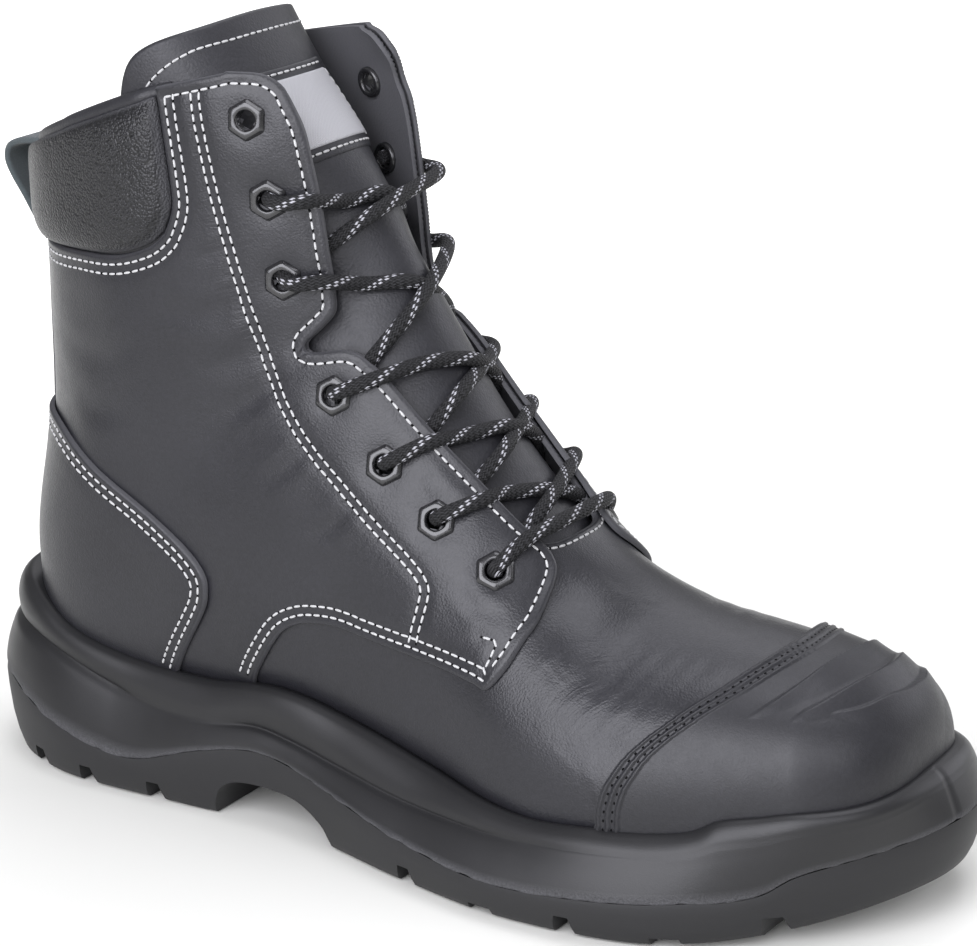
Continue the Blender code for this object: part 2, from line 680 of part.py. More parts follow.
def make_upper():
    outer, tip = last_rings(0.0)
    inner, inner_tip = last_rings(-WALL)
    skin = [*outer[:-1], *inner[:-1][::-1]]
    upper = loft("upper", skin, tip, inner_tip, turn=len(outer) - 1)
    combine(upper, THROAT_CUT)
    opening = PLAN - PLAN_NORMAL * LASTING_MARGIN
    combine(upper, prism("underside_cut", [opening], 2, (FLOOR_OUT, LASTING_CUT_TOP)))
    return finish(upper, (0.022, 0.022, 0.024), 0.4)


def make_insole():
    insole = form("insole", -WALL - GAP, cutter=False)
    rise = WALL + GAP + INSOLE_THICK
    top = [(row.bx, row.bz + rise) for row in LAST[:HEEL + 1]]
    toe, heel = top[0][1] + INSOLE_TOE_RISE, top[-1][1] + INSOLE_HEEL_RISE
    outline = [(FRONT_OUT, toe), *top, (BACK_OUT, heel), (BACK_OUT, FLOOR_OUT), (FRONT_OUT, FLOOR_OUT)]
    combine(insole, side_prism("insole_top_cut", [outline]), "INTERSECT")
    return finish(insole, (0.05, 0.05, 0.052), 0.9)


def make_quarter(side, sign):
    """A quarter with its facing and wing, laid over the upper on one side."""
    outline = [*WING, *WING_FRONT, (WING_FRONT[-1][0], TOP_OUT), (BACK_OUT, TOP_OUT), (BACK_OUT, WING[0][1])]
    quarter = form(f"quarter_{side}", LEVEL_1_TOP, cutter=False)
    reach = (-SIDE_OUT, -GAP / 2) if sign < 0 else (GAP / 2, SIDE_OUT)
    combine(quarter, side_prism(f"quarter_cut_{side}", [outline], *reach), "INTERSECT")
    combine(quarter, LEVEL_1_FORM)
    combine(quarter, THROAT_CUT)
    combine(quarter, PAD_CLEAR)
    combine(quarter, COLLAR_CUT)
    combine(quarter, SOLE_CLEAR)
    return finish(quarter, (0.024, 0.024, 0.026), 0.38)


def make_counter():
    """The heel counter, wrapped round the back over both quarters."""
    outline = [(BACK_OUT, COUNTER_TOP[-1][1]), (BACK_OUT, COUNTER_TOP[0][1]), *COUNTER_TOP]
    counter = form("heel_counter", LEVEL_2_TOP, cutter=False)
    combine(counter, side_prism("counter_cut", [outline]), "INTERSECT")
    combine(counter, LEVEL_2_FORM)
    combine(counter, SOLE_CLEAR)
    return finish(counter, (0.022, 0.022, 0.024), 0.4)


def make_backstay():
    """Narrow strip over the back seam, between counter and collar pad."""
    low, high = BACKSTAY_SPAN
    outline = [(-BACKSTAY_HALF, low), (BACKSTAY_HALF, low), (BACKSTAY_HALF, high), (-BACKSTAY_HALF, high)]
    backstay = form("backstay", LEVEL_2_TOP, cutter=False)
    combine(backstay, prism("backstay_cut", [outline], 0, (BACK_OUT, SIDE_OUT)), "INTERSECT")
    combine(backstay, LEVEL_2_FORM)
    return finish(backstay, (0.022, 0.022, 0.024), 0.4)


def make_collar_pad():
    """Padded cuff: fullest in the middle of its height, thin where it is stitched."""
    rings, _ = last_rings(0.0, PAD_STATIONS)
    x, z = rings[..., 0], rings[..., 2]
    lower_x, lower_z = zip(*PAD_LOWER)
    front_x, front_z = zip(*PAD_FRONT)
    swell = round_over((z - np.interp(x, lower_x, lower_z)) / PAD_ROLL)
    swell = swell * round_over((np.interp(z, front_z, front_x) - x) / PAD_ROLL)
    roll = round_over((collar_height(x) - z) / PAD_ROLL)
    bulge = swell * (PAD_TOP_SHARE + (1 - PAD_TOP_SHARE) * roll)
    thick = LEVEL_1 + PAD_EDGE + PAD_BULGE * bulge
    pad = form("collar_pad", thick, cutter=False, stations=PAD_STATIONS)
    combine(pad, pad_cutter("pad_cut", 0.0), "INTERSECT")
    combine(pad, LEVEL_1_FORM)
    combine(pad, COLLAR_CUT)
    return finish(pad, (0.02, 0.02, 0.022), 0.5)


def make_scuff_cap():
    """Moulded cap over the toe, with a beaded rear edge and three ribs."""
    near, far = CAP_BAND
    levels = (FLOOR_OUT, TOP_OUT)

    def rear_line(ahead):
        first, last = CAP_REAR[0], CAP_REAR[-1]
        line = [(first[0], -SIDE_OUT), *CAP_REAR, (last[0], SIDE_OUT)]
        return [(x + ahead, y) for x, y in line]

    cap = form("scuff_cap", LEVEL_1 + CAP_THICK, cutter=False)
    outline = [*rear_line(0), (FRONT_OUT, SIDE_OUT), (FRONT_OUT, -SIDE_OUT)]
    combine(cap, prism("cap_cut", [outline], 2, levels), "INTERSECT")
    band = form("cap_band", LEVEL_1 + CAP_THICK + CAP_BEAD)
    combine(band, prism("band_cut", [rear_line(near) + rear_line(far)[::-1]], 2, levels), "INTERSECT")
    combine(cap, band, "UNION")
    ribs = form("cap_ribs", LEVEL_1 + CAP_THICK + CAP_RIB)
    combine(ribs, prism("rib_cut", [rib_outline(row) for row in RIBS], 2, (RIB_FLOOR, TOP_OUT)), "INTERSECT")
    combine(cap, ribs, "UNION")
    combine(cap, LEVEL_1_FORM)
    combine(cap, SOLE_CLEAR)
    return finish(cap, (0.02, 0.02, 0.022), 0.36)


def rib_outline(row):
    """A crescent in plan: its rear edge is a parabola and it tapers to both ends."""
    across = np.linspace(-1, 1, 5)
    rear = [(row.crown - (row.crown - row.end) * t ** 2, RIB_CENTRE + t * row.span) for t in across]
    front = [(x + RIB_TIP + row.width * (1 - t ** 2), y) for (x, y), t in zip(rear, across)]
    return rear + front[::-1]


def tongue_grid(offset, spans, widths, rows, columns):
    """A patch of the tongue's surface: stations by columns, with corners lower than its middle."""
    grid = []
    for v in np.linspace(0, 1, rows):
        line = []
        for u in np.linspace(-1, 1, columns):
            foot, top, drop = spans
            station = foot + (top - drop * abs(u) ** 1.6 - foot) * v
            share = 0.5 + u * (widths[0] + (widths[1] - widths[0]) * v)
            line.append(sheet_point(station, share, offset, 1.0)[0])
        grid.append(line)
    return np.array(grid)


def make_tongue():
    top = -WALL - TONGUE_CLEAR
    shape = ((TONGUE_FOOT, TONGUE_TOP, TONGUE_SIDE_DROP), TONGUE_WIDTH, 13, 9)
    tongue = slab("tongue", tongue_grid(top, *shape), tongue_grid(top - TONGUE_THICK, *shape))
    return finish(tongue, (0.024, 0.024, 0.026), 0.45)


def make_label():
    low, high = LABEL_SPAN
    top = -WALL - TONGUE_CLEAR + LABEL_SEAT
    shape = ((low, high, 0.0), (LABEL_SHARE, LABEL_SHARE), 4, 5)
    label = slab("tongue_label", tongue_grid(top + LABEL_THICK, *shape), tongue_grid(top, *shape))
    return finish(label, (0.6, 0.61, 0.62), 0.8)


def eyelet_spots(sign):
    """Where lines across the boot meet the facing on one side, with the normals there."""
    skin = skin_tree(LEVEL_1_TOP)
    found = []
    for x, z in EYELETS:
        spot, normal, _, _ = skin.ray_cast(Vector((x, sign * SIDE_OUT, z)), Vector((0, -sign, 0)))
        found.append((np.array(spot), np.array(normal)))
    return found


def make_eyelet(name, spot, normal):
    """A hexagon ring lying on the facing."""
    up = np.array((0.0, 0.0, 1.0))
    side = np.cross(up, normal)
    side = side / np.linalg.norm(side)
    up = np.cross(normal, side)
    radii = (EYELET_HOLE / 2, EYELET_FLATS / math.sqrt(3))
    angles = np.arange(6) * math.pi / 3
    rings = []
    for radius, height in ((radii[0], 0), (radii[1], 0), (radii[1] * EYELET_BEVEL, 1), (radii[0], 1)):
        lift = spot + normal * (EYELET_SEAT + EYELET_THICK * height)
        rings.append([lift + radius * (math.cos(a) * side + math.sin(a) * up) for a in angles])
    vertices = [v for ring in rings for v in ring]
    faces = []
    for i in range(4):
        for j in range(6):
            k = (j + 1) % 6
            n = (i + 1) % 4
            faces.append((i * 6 + j, i * 6 + k, n * 6 + k, n * 6 + j))
    eyelet = add_object(name, vertices, faces)
    face_outward(eyelet)
    return finish(eyelet, (0.03, 0.03, 0.032), 0.35, 0.6)


def make_lace(spots):
    """Crossings between neighbouring pairs of eyelets, each one joined solid, and the bar at the foot."""
    rise = EYELET_SEAT + EYELET_THICK + LACE_RADIUS + LACE_CLEAR
    count = len(EYELETS)
    skin = skin_tree(LEVEL_1_TOP)

    def middle(i, j):
        """A point over the tongue's ridge, between two levels of eyelets."""
        level = (np.array(EYELETS[i]) + np.array(EYELETS[j])) / 2
        stations = np.linspace(TONGUE_FOOT, COLLAR, 80)
        ridge = [sheet_point(s, 0.5, -WALL, 1.0) for s in stations]
        heights = [abs(point[2] - level[1] - RIDGE_LEAD) for point, _ in ridge]
        point, normal = ridge[int(np.argmin(heights))]
        return point + normal * (LACE_RADIUS + LACE_LIFT)

    def over_edge(first, centre):
        """The lace bends over a facing's edge, resting on it."""
        spot, normal, _, _ = skin.find_nearest(Vector(first + (centre - first) * EDGE_SHARE))
        return np.array(spot + normal * rise)

    def strand(start, centre, low):
        (eye, normal) = start
        (goal, goal_normal) = low
        first = eye + normal * rise
        last = goal + goal_normal * rise
        over = over_edge(first, centre)
        stop = centre + (last - centre) * STRAND_STOP - goal_normal * UNDER_DROP
        return curve([first, over, centre, stop], 2)

    for i in range(FIRST_LACED, count - 1):
        centre = middle(i, i + 1)
        cross = tube(f"lace_cross_{i - FIRST_LACED + 1}",
                     strand(spots["lateral"][i], centre, spots["medial"][i + 1]), LACE_RADIUS)
        other = tube(f"lace_cross_back_{i}", strand(spots["medial"][i], centre, spots["lateral"][i + 1]),
                     LACE_RADIUS, cutter=True)
        combine(cross, other, "UNION")
        finish(cross, (0.02, 0.02, 0.022), 0.8)
    ends = [spots[side][-1][0] + spots[side][-1][1] * rise for side in ("lateral", "medial")]
    centre = middle(count - 1, count - 1) + np.array(BAR_LIFT)
    overs = [over_edge(end, centre) for end in ends]
    bar = tube("lace_bar", curve([ends[0], overs[0], centre, overs[1], ends[1]], 2), LACE_RADIUS)
    finish(bar, (0.02, 0.02, 0.022), 0.8)


def make_pull_loop():
    """A suede strap standing off the back of the collar."""
    path = curve(LOOP_PATH, 2)
    tangent = np.gradient(path, axis=0)
    tangent = tangent / np.linalg.norm(tangent, axis=1)[:, None]
    left = np.stack([-tangent[:, 1], tangent[:, 0]], -1)
    half = LOOP_WIDTH / 2

    def strap(offset):
        spine = path + left * offset
        return np.array([[(x, y, z) for y in (-half, half)] for x, z in spine])

    loop = slab("pull_loop", strap(LOOP_THICK / 2), strap(-LOOP_THICK / 2))
    return finish(loop, (0.09, 0.1, 0.1), 0.9)


clear_scene()
BOOT = bpy.data.objects.new("boot", None)
BOOT.location = (-ORIGIN[0] * MM, -ORIGIN[1] * MM, 0)
bpy.context.collection.objects.link(BOOT)

THROAT_CUT = throat_cutter()
LEVEL_1_FORM = form("level_1_form", LEVEL_1)
LEVEL_2_FORM = form("level_2_form", LEVEL_2)
SOLE_CLEAR = midsole_blank("sole_clearance", GAP, True)
PAD_CLEAR = pad_cutter("pad_clearance", GAP)
COLLAR_CUT = collar_cutter()

make_outsole()
make_midsole()
make_upper()
make_insole()
make_tongue()
make_quarter("lateral", -1)
make_quarter("medial", 1)
make_counter()
make_backstay()
make_collar_pad()
make_scuff_cap()
make_label()
make_pull_loop()
SPOTS = {"lateral": eyelet_spots(-1), "medial": eyelet_spots(1)}
for wing_side, places in SPOTS.items():
    for number, (place, facing) in enumerate(places, start=1):
        make_eyelet(f"eyelet_{wing_side}_{number}", place, facing)
make_lace(SPOTS)
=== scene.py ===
# %% [markdown]
# # A laced safety boot
# The frame is a plain solid model of a right boot. This lesson dresses it: every visible piece is
# made again with the same sizes, but fine enough to carry rounded edges, creases, stitches and
# grain. The solids stay behind for collision, and each new piece hides the ones it replaces.

# %% Load the frame
import json
import math
from collections import namedtuple

import bmesh
import bpy
import numpy as np
from mathutils import Matrix, Vector, geometry
from mathutils.bvhtree import BVHTree
from mathutils.kdtree import KDTree

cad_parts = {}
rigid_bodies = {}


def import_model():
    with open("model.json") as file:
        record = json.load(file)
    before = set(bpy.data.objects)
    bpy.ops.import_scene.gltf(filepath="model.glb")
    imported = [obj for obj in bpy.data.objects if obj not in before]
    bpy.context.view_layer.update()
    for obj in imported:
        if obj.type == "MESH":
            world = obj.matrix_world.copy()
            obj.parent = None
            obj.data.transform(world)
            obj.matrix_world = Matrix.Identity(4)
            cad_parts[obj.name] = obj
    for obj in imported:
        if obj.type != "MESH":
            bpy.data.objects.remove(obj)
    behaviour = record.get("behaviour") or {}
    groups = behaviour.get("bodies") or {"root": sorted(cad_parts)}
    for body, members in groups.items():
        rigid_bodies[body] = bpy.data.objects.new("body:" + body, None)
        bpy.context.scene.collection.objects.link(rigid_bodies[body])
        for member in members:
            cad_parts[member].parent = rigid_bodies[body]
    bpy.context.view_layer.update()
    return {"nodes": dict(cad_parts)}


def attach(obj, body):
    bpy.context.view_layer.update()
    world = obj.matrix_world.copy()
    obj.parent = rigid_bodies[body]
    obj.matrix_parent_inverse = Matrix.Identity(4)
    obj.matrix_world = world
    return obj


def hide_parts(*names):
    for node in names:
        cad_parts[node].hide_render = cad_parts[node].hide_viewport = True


for stray in list(bpy.data.objects):
    bpy.data.objects.remove(stray)
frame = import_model()

# %% [markdown]
# ## Units and small helpers
# A shoemaker measures from the back of the heel in millimetres, so the tables below do too:
# x to the toe, y to the inner side, z up. The whole boot could be made at that scale and shrunk at
# the end, but the frame's solids are already in metres. So one function turns points of the boot
# into points of the frame, and every piece goes through it.

# %% From the shoemaker's millimetres to the frame
MM = 0.001
MIDDLE = np.array((152.97, -2.54, 0.0))  # the frame's origin, seen from the back of the heel


def to_frame(points):
    return (np.asarray(points, float) - MIDDLE) * MM


print("the back of the heel lies at", to_frame((0, 0, 0)).round(4))

# %% [markdown]
# ## Lines
# Edges, seams, folds and the lace are lines. Each is written as the few points that it needs, and a
# smooth curve runs through them. Blender's curve objects could hold them, but a plain list of points
# is easier to measure, to space evenly and to move over a surface.

# %% Smooth and even lines
def unit(vectors):
    return vectors / np.linalg.norm(vectors, axis=-1, keepdims=True)


def catmull(p0, p1, p2, p3, t):
    cubic = 3 * p1 - p0 - 3 * p2 + p3
    square = 2 * p0 - 5 * p1 + 4 * p2 - p3
    return 0.5 * (2 * p1 + (p2 - p0) * t + square * t ** 2 + cubic * t ** 3)


def curve(points, steps):
    """Points of a smooth open curve through the given ones, steps to a span."""
    knots = np.array(points, float)
    padded = np.concatenate([2 * knots[:1] - knots[1:2], knots, 2 * knots[-1:] - knots[-2:-1]])
    spans = [catmull(*padded[i:i + 4], t) for i in range(len(knots) - 1) for t in np.arange(steps) / steps]
    return np.array([*spans, knots[-1]])


def lengths(line):
    """How far along a line each of its points lies."""
    return np.concatenate([[0], np.cumsum(np.linalg.norm(np.diff(line, axis=0), axis=1))])


def at_lengths(line, run, stops):
    """Points of a line at some lengths along it."""
    return np.stack([np.interp(stops, run, line[:, k]) for k in range(line.shape[1])], -1)


def even(line, spacing):
    """The same line with points at an even spacing."""
    line = np.asarray(line, float)
    run = lengths(line)
    return at_lengths(line, run, np.linspace(0, run[-1], max(2, int(round(run[-1] / spacing)) + 1)))


def nearest(points, line, which=False):
    """Distance from each point to the nearest point of a line, and which point that is."""
    tree = KDTree(len(line))
    for i, spot in enumerate(line):
        tree.insert(spot, i)
    tree.balance()
    found = [tree.find(point)[1:] for point in points]
    far = np.array([row[1] for row in found])
    return (far, np.array([row[0] for row in found])) if which else far


def round_over(share):
    """Quarter round from 0 to 1."""
    return np.sqrt(1 - (1 - np.clip(share, 0, 1)) ** 2)


print("eight steps to a span make", len(curve(((0, 0), (5, 3), (10, 0)), 8)), "points of three")

# %% [markdown]
# ## Pieces
# Each piece of the boot is one mesh with one finish. It could be modelled by hand, but a mesh that is
# built from points and faces comes out the same on every run. A piece also carries numbers for its
# finish, such as how near a cut edge lies, and hides the frame's solids that it stands for.

# %% Meshes and their finish
def add_mesh(name, points, faces, sharp=50):
    """A piece from points in millimetres, smooth except where it bends by more than an angle."""
    mesh = bpy.data.meshes.new(name)
    mesh.from_pydata(to_frame(points).tolist(), [], [tuple(int(k) for k in face) for face in faces])
    mesh.validate()
    mesh.shade_smooth()
    mesh.set_sharp_from_angle(angle=math.radians(sharp))
    piece = bpy.data.objects.new(name, mesh)
    bpy.context.collection.objects.link(piece)
    return piece


def tag(piece, name, values):
    """A number for each point of a piece, for its finish to read."""
    made = piece.data.attributes.new(name, "FLOAT", "POINT")
    made.data.foreach_set("value", np.asarray(values, float))


def keep(piece, finish, slot, *nodes):
    """Give a piece its finish and hide the solids it stands for."""
    piece.data.materials.clear()
    piece.data.materials.append(finish)
    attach(piece, "root")
    if nodes:
        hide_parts(*nodes)
    print(piece.name, len(piece.data.polygons), "faces")
    return piece


print("meshes before the first piece", len(bpy.data.meshes))

# %% [markdown]
# ## The last
# A boot is built round a last, a solid foot shape. Here it is a row of flat sections that fan from
# the toe over the instep and up to the collar. Each section is a loop from a point below or behind
# the foot to a point on top or in front, so one table drives every leather piece. A sculpted mesh
# would look as good, but nothing could then be laid on it by measure.

# %% Sizes of the sections
Row = namedtuple("Row", "name bx bz tx tz lateral medial centre widest low high tongue")
LAST = (
    Row("toe", 279, 21, 275, 67, 37, 35, 4, .34, 3.2, 2.5, 0),
    Row("cap", 256, 17, 252, 71.5, 44.5, 41.5, 3, .32, 3.4, 2.3, 0),
    Row("ball", 226, 14, 222, 76.3, 50, 46, 1, .30, 3.6, 2.1, 2),
    Row("vamp", 196, 15, 199, 88.5, 48.5, 43.5, 0, .32, 3.4, 2.05, 3),
    Row("instep", 165, 19, 182, 109, 43, 38.5, 0, .36, 3.0, 2.0, 3),
    Row("waist", 132, 23, 167, 130.5, 40, 36.5, 0, .38, 2.8, 2.0, 4.5),
    Row("shank", 98, 25, 156, 150, 39, 36.5, 0, .40, 2.8, 2.0, 5.5),
    Row("seat", 61, 26, 150, 166, 38.5, 36, 0, .40, 2.8, 2.0, 8.5),
    Row("heel", 24.5, 29, 147, 180, 37.5, 36, 0, .40, 2.6, 2.0, 13),
    Row("counter", 13.5, 58, 145, 191, 37.5, 36, 0, .42, 2.3, 2.1, 16.5),
    Row("tendon", 18, 100, 142, 200, 37, 36, 0, .45, 2.1, 2.1, 20),
    Row("ankle", 18.5, 140, 138, 209, 37, 36, 0, .47, 2.1, 2.2, 23),
    Row("shaft", 18, 172, 132, 216, 37, 36, 0, .48, 2.1, 2.3, 24.5),
    Row("collar", 18, 191, 125, 222, 37, 36, 0, .48, 2.1, 2.3, 24),
)
NOSE_TIP = (297.5, 7.0, 41.0)
NOSE_FULLNESS, NOSE_SWEEP = 0.62, 0.8  # how blunt the nose is, and how soon it turns in
SIZES = np.array([row[1:] for row in LAST], float)
COLLAR = len(LAST) - 1
print("sections from", LAST[0].name, "to", LAST[COLLAR].name, len(LAST))

# %% One section
def row_sizes(station):
    """Sizes of the section at a station.

    0 is the toe row, below 0 lies the nose, and past the collar the sizes run straight on.
    """
    if station < 0:
        return nose_sizes(1 + station)
    if station > COLLAR:
        return SIZES[COLLAR] + (SIZES[COLLAR] - SIZES[COLLAR - 1]) * (station - COLLAR)
    i = min(int(station), COLLAR - 1)
    before = SIZES[i - 1] if i > 0 else 2 * SIZES[0] - SIZES[1]
    after = SIZES[i + 2] if i + 2 <= COLLAR else 2 * SIZES[COLLAR] - SIZES[COLLAR - 1]
    return catmull(before, SIZES[i], SIZES[i + 1], after, station - i)


def nose_sizes(share):
    """Sections of the nose shrink on part of a round to its tip."""
    size = Row("nose", *SIZES[0])
    sweep = NOSE_SWEEP * math.pi / 2
    width = (math.sin(share * sweep) / math.sin(sweep)) ** NOSE_FULLNESS
    back = 1 - math.cos(share * math.pi / 2)
    x, y, z = NOSE_TIP
    return np.array(size._replace(
        bx=x + (size.bx - x) * back, tx=x + (size.tx - x) * back,
        bz=z + (size.bz - z) * width, tz=z + (size.tz - z) * width,
        lateral=size.lateral * width, medial=size.medial * width,
        centre=y + (size.centre - y) * back)[1:], float)


LOOP_POINTS = 721  # on one section, before they are spaced evenly; the middle one is on top


def section(sizes, shares, tongue):
    """Points of one section at shares of its loop: 0 below or behind, 0.5 on top, outer side first."""
    size = Row("section", *sizes)
    turn = np.linspace(0, 2 * math.pi, LOOP_POINTS)
    cos, sin = np.cos(turn), np.sin(turn)
    power = 2 / np.where(cos >= 0, size.low, size.high)
    rise = np.where(cos >= 0, size.widest * (1 - np.abs(cos) ** power),
                    size.widest + (1 - size.widest) * np.abs(cos) ** power)
    half = np.where(sin >= 0, -size.lateral, size.medial)
    height = math.hypot(size.tx - size.bx, size.tz - size.bz)
    rise = rise * (1 - tongue * size.tongue / height * np.clip(rise, 0, 1))
    points = np.stack([size.bx + (size.tx - size.bx) * rise,
                       size.centre + half * np.abs(sin) ** power,
                       size.bz + (size.tz - size.bz) * rise], -1)
    run = lengths(points)
    middle = len(turn) // 2
    place = np.where(shares < 0.5, shares / 0.5 * run[middle],
                     run[middle] + (shares - 0.5) / 0.5 * (run[-1] - run[middle]))
    return at_lengths(points, run, place)


ball = section(row_sizes(2), np.linspace(0, 1, 80), 0.0)
print("width of the last at the ball", np.ptp(ball[:, 1]).round(1))

# %% [markdown]
# ## The last as a surface
# Pieces are laid on the last at their own height, so it has to say for any place where the point is
# and which way is out. A mesh could be asked by casting rays. A grid of points and normals that is
# read between its lines is quicker and smoother. The tongue lies on a second, sunken last.

# %% Points and normals of the last
class Skin:
    """The last as a function: a point, moved out along its normal, at any station and share."""
    first, step, last, around = -0.998, 0.05, 16.5, 480

    def __init__(self, tongue=0.0):
        self.stations = np.arange(self.first, self.last, self.step)
        shares = np.arange(self.around) / self.around
        self.points = np.array([section(row_sizes(s), shares, tongue) for s in self.stations])
        along = np.gradient(self.points, axis=0)
        across = np.roll(self.points, -1, 1) - np.roll(self.points, 1, 1)
        self.normals = unit(np.cross(across, along))

    def mix(self, table, places):
        s = np.clip((places[..., 0] - self.first) / self.step, 0, len(self.stations) - 1.001)
        v = (places[..., 1] % 1.0) * self.around
        i, j = s.astype(int), v.astype(int)
        a, b = (s - i)[..., None], (v - j)[..., None]
        j, k = j % self.around, (j + 1) % self.around
        return ((1 - a) * ((1 - b) * table[i, j] + b * table[i, k])
                + a * ((1 - b) * table[i + 1, j] + b * table[i + 1, k]))

    def normal(self, places):
        return unit(self.mix(self.normals, np.asarray(places, float)))

    def at(self, places, offset=0.0):
        places = np.asarray(places, float)
        return self.mix(self.points, places) + self.normal(places) * np.asarray(offset)[..., None]


skin = Skin()
tongue_skin = Skin(tongue=1.0)
print("last", skin.points.shape[:2], "length", round(np.ptp(skin.points[..., 0]), 1))

# %% [markdown]
# ## From a pattern to the last
# A pattern cutter draws the panels flat, in side view. A Shrinkwrap could push points onto the last,
# but not say between which sections they lie. In side view each section is a straight line, so a drawn
# point finds its section by where those lines sweep past it. What comes back is a place on the last:
# its station and its share of the way round.

# %% Places on the last of points drawn in side view
LATERAL, MEDIAL = 1, -1
MIDWAY, NEARBY = 0.5, 0.62  # a section counts when a point lies this near to the middle of its height


def on_side(line, side):
    """Stations and shares of side-view points.

    Shares run from 0 at the back, negative on the inner side.
    """
    half = skin.around // 2
    order = np.arange(half + 1) if side == LATERAL else (-np.arange(half + 1)) % skin.around
    flat = skin.points[:, order][:, :, [0, 2]]
    back, top = flat[:, 0], flat[:, -1]
    reach = top - back
    places = []
    for point in np.asarray(line, float):
        away = point - back
        turn = reach[:, 0] * away[:, 1] - reach[:, 1] * away[:, 0]
        rise = (away * reach).sum(1) / (reach ** 2).sum(1)
        passed = (turn[:-1] * turn[1:] <= 0) & (np.abs(rise[:-1] - MIDWAY) < NEARBY)
        swap = np.flatnonzero(passed)
        i = swap[np.argmin(np.abs(rise[swap] - MIDWAY))]
        part = turn[i] / (turn[i] - turn[i + 1])
        row = flat[i] * (1 - part) + flat[i + 1] * part
        span = row[-1] - row[0]
        along = ((row - row[0]) @ span) / (span @ span)
        here = np.clip((point - row[0]) @ span / (span @ span), 0, 1)
        share = np.interp(here, along, np.arange(half + 1) / skin.around)
        places.append((skin.stations[i] + part * skin.step, side * share))
    return np.array(places)


ANKLE_BONE = (70, 110)
print("the ankle bone lies at station and share", on_side((ANKLE_BONE,), LATERAL)[0].round(3))

# %% [markdown]
# ## Moving over the surface
# A row of stitches lies a few millimetres inside an edge, measured over the leather. It could be drawn
# beside the edge in side view, but would drift where the boot turns away. So a small move over the
# surface is turned into a move in the chart of stations and shares.

# %% Lines beside lines
CHART = np.array((22.0, 270.0))  # about how many millimetres a station and a whole turn measure


def chart_step(places, move):
    """How far a small move over the surface goes in the chart."""
    ds, dv = np.array((0.02, 0)), np.array((0, 0.002))
    a = (skin.at(places + ds) - skin.at(places - ds)) / (2 * ds[0])
    b = (skin.at(places + dv) - skin.at(places - dv)) / (2 * dv[1])
    aa, ab, bb = (a * a).sum(1), (a * b).sum(1), (b * b).sum(1)
    am, bm = (a * move).sum(1), (b * move).sum(1)
    scale = aa * bb - ab * ab
    return np.stack([(am * bb - bm * ab) / scale, (bm * aa - am * ab) / scale], -1)


def inset(edge, distance, closed=True):
    """A line moved sideways over the surface, inwards for a closed outline."""
    points = skin.at(edge)
    if closed:
        tangent = np.roll(points, -1, 0) - np.roll(points, 1, 0)
        after = np.roll(edge, -1, 0)
        turn = np.sign((edge[:, 0] * after[:, 1] - after[:, 0] * edge[:, 1]).sum())
    else:
        tangent, turn = np.gradient(points, axis=0), 1.0
    inward = unit(np.cross(tangent, skin.normal(edge))) * turn
    return edge + chart_step(edge, inward * distance)


print("a station measures about", CHART[0], "mm and a whole turn", CHART[1])

# %% [markdown]
# ## Cutting a panel
# A real panel is cut from flat leather about 1.7 mm thick and pulled over the last. In the chart it is
# a polygon filled with an even lattice of points and triangulated. It is then laid on the last at its
# own level, with a rim that rounds over and a wall down to what lies beneath. Solidify and Bevel would
# do this too, but not with a rim measured along the surface.

# %% Filling an outline
ROW_STEP = 0.87  # rows of a lattice of triangles lie this share of its spacing apart


def inside(places, edge):
    """Which places lie within an outline in the chart."""
    result = np.zeros(len(places), bool)
    for (s0, v0), (s1, v1) in zip(edge, np.roll(edge, -1, 0)):
        if s0 == s1:
            continue
        cross = (s0 > places[:, 0]) != (s1 > places[:, 0])
        result ^= cross & (places[:, 1] < (v1 - v0) * (places[:, 0] - s0) / (s1 - s0) + v0)
    return result


def lattice(edge, spacing):
    """Places within an outline in staggered rows."""
    ds, dv = spacing / CHART
    rows = np.arange(edge[:, 0].min(), edge[:, 0].max(), ds * ROW_STEP)
    columns = np.arange(edge[:, 1].min(), edge[:, 1].max(), dv)
    grid = np.array([(s, v + dv / 2 * (i % 2)) for i, s in enumerate(rows) for v in columns])
    return grid[inside(grid, edge)]


print("rows of a lattice 2 mm wide lie", 2 * ROW_STEP, "apart")

# %% Panels
EDGE_SHARE = 0.45  # of a panel's thickness stands straight at its cut edge
RIM_RINGS = (0.3, 0.7, 1.2, 1.9)  # rings of points beside the edge, in widths of the rim
RING_KEPT = 0.85  # a ring's point is kept when it is this true to its distance
LATTICE_CLEAR = 2.6  # the lattice starts this many rims from the edge
FADE_START, FADE_RUN = 0.3, 2.5  # millimetres from the edge over which a relief comes in
RAW_RIM = 0.6  # share of the rim that shows the cut


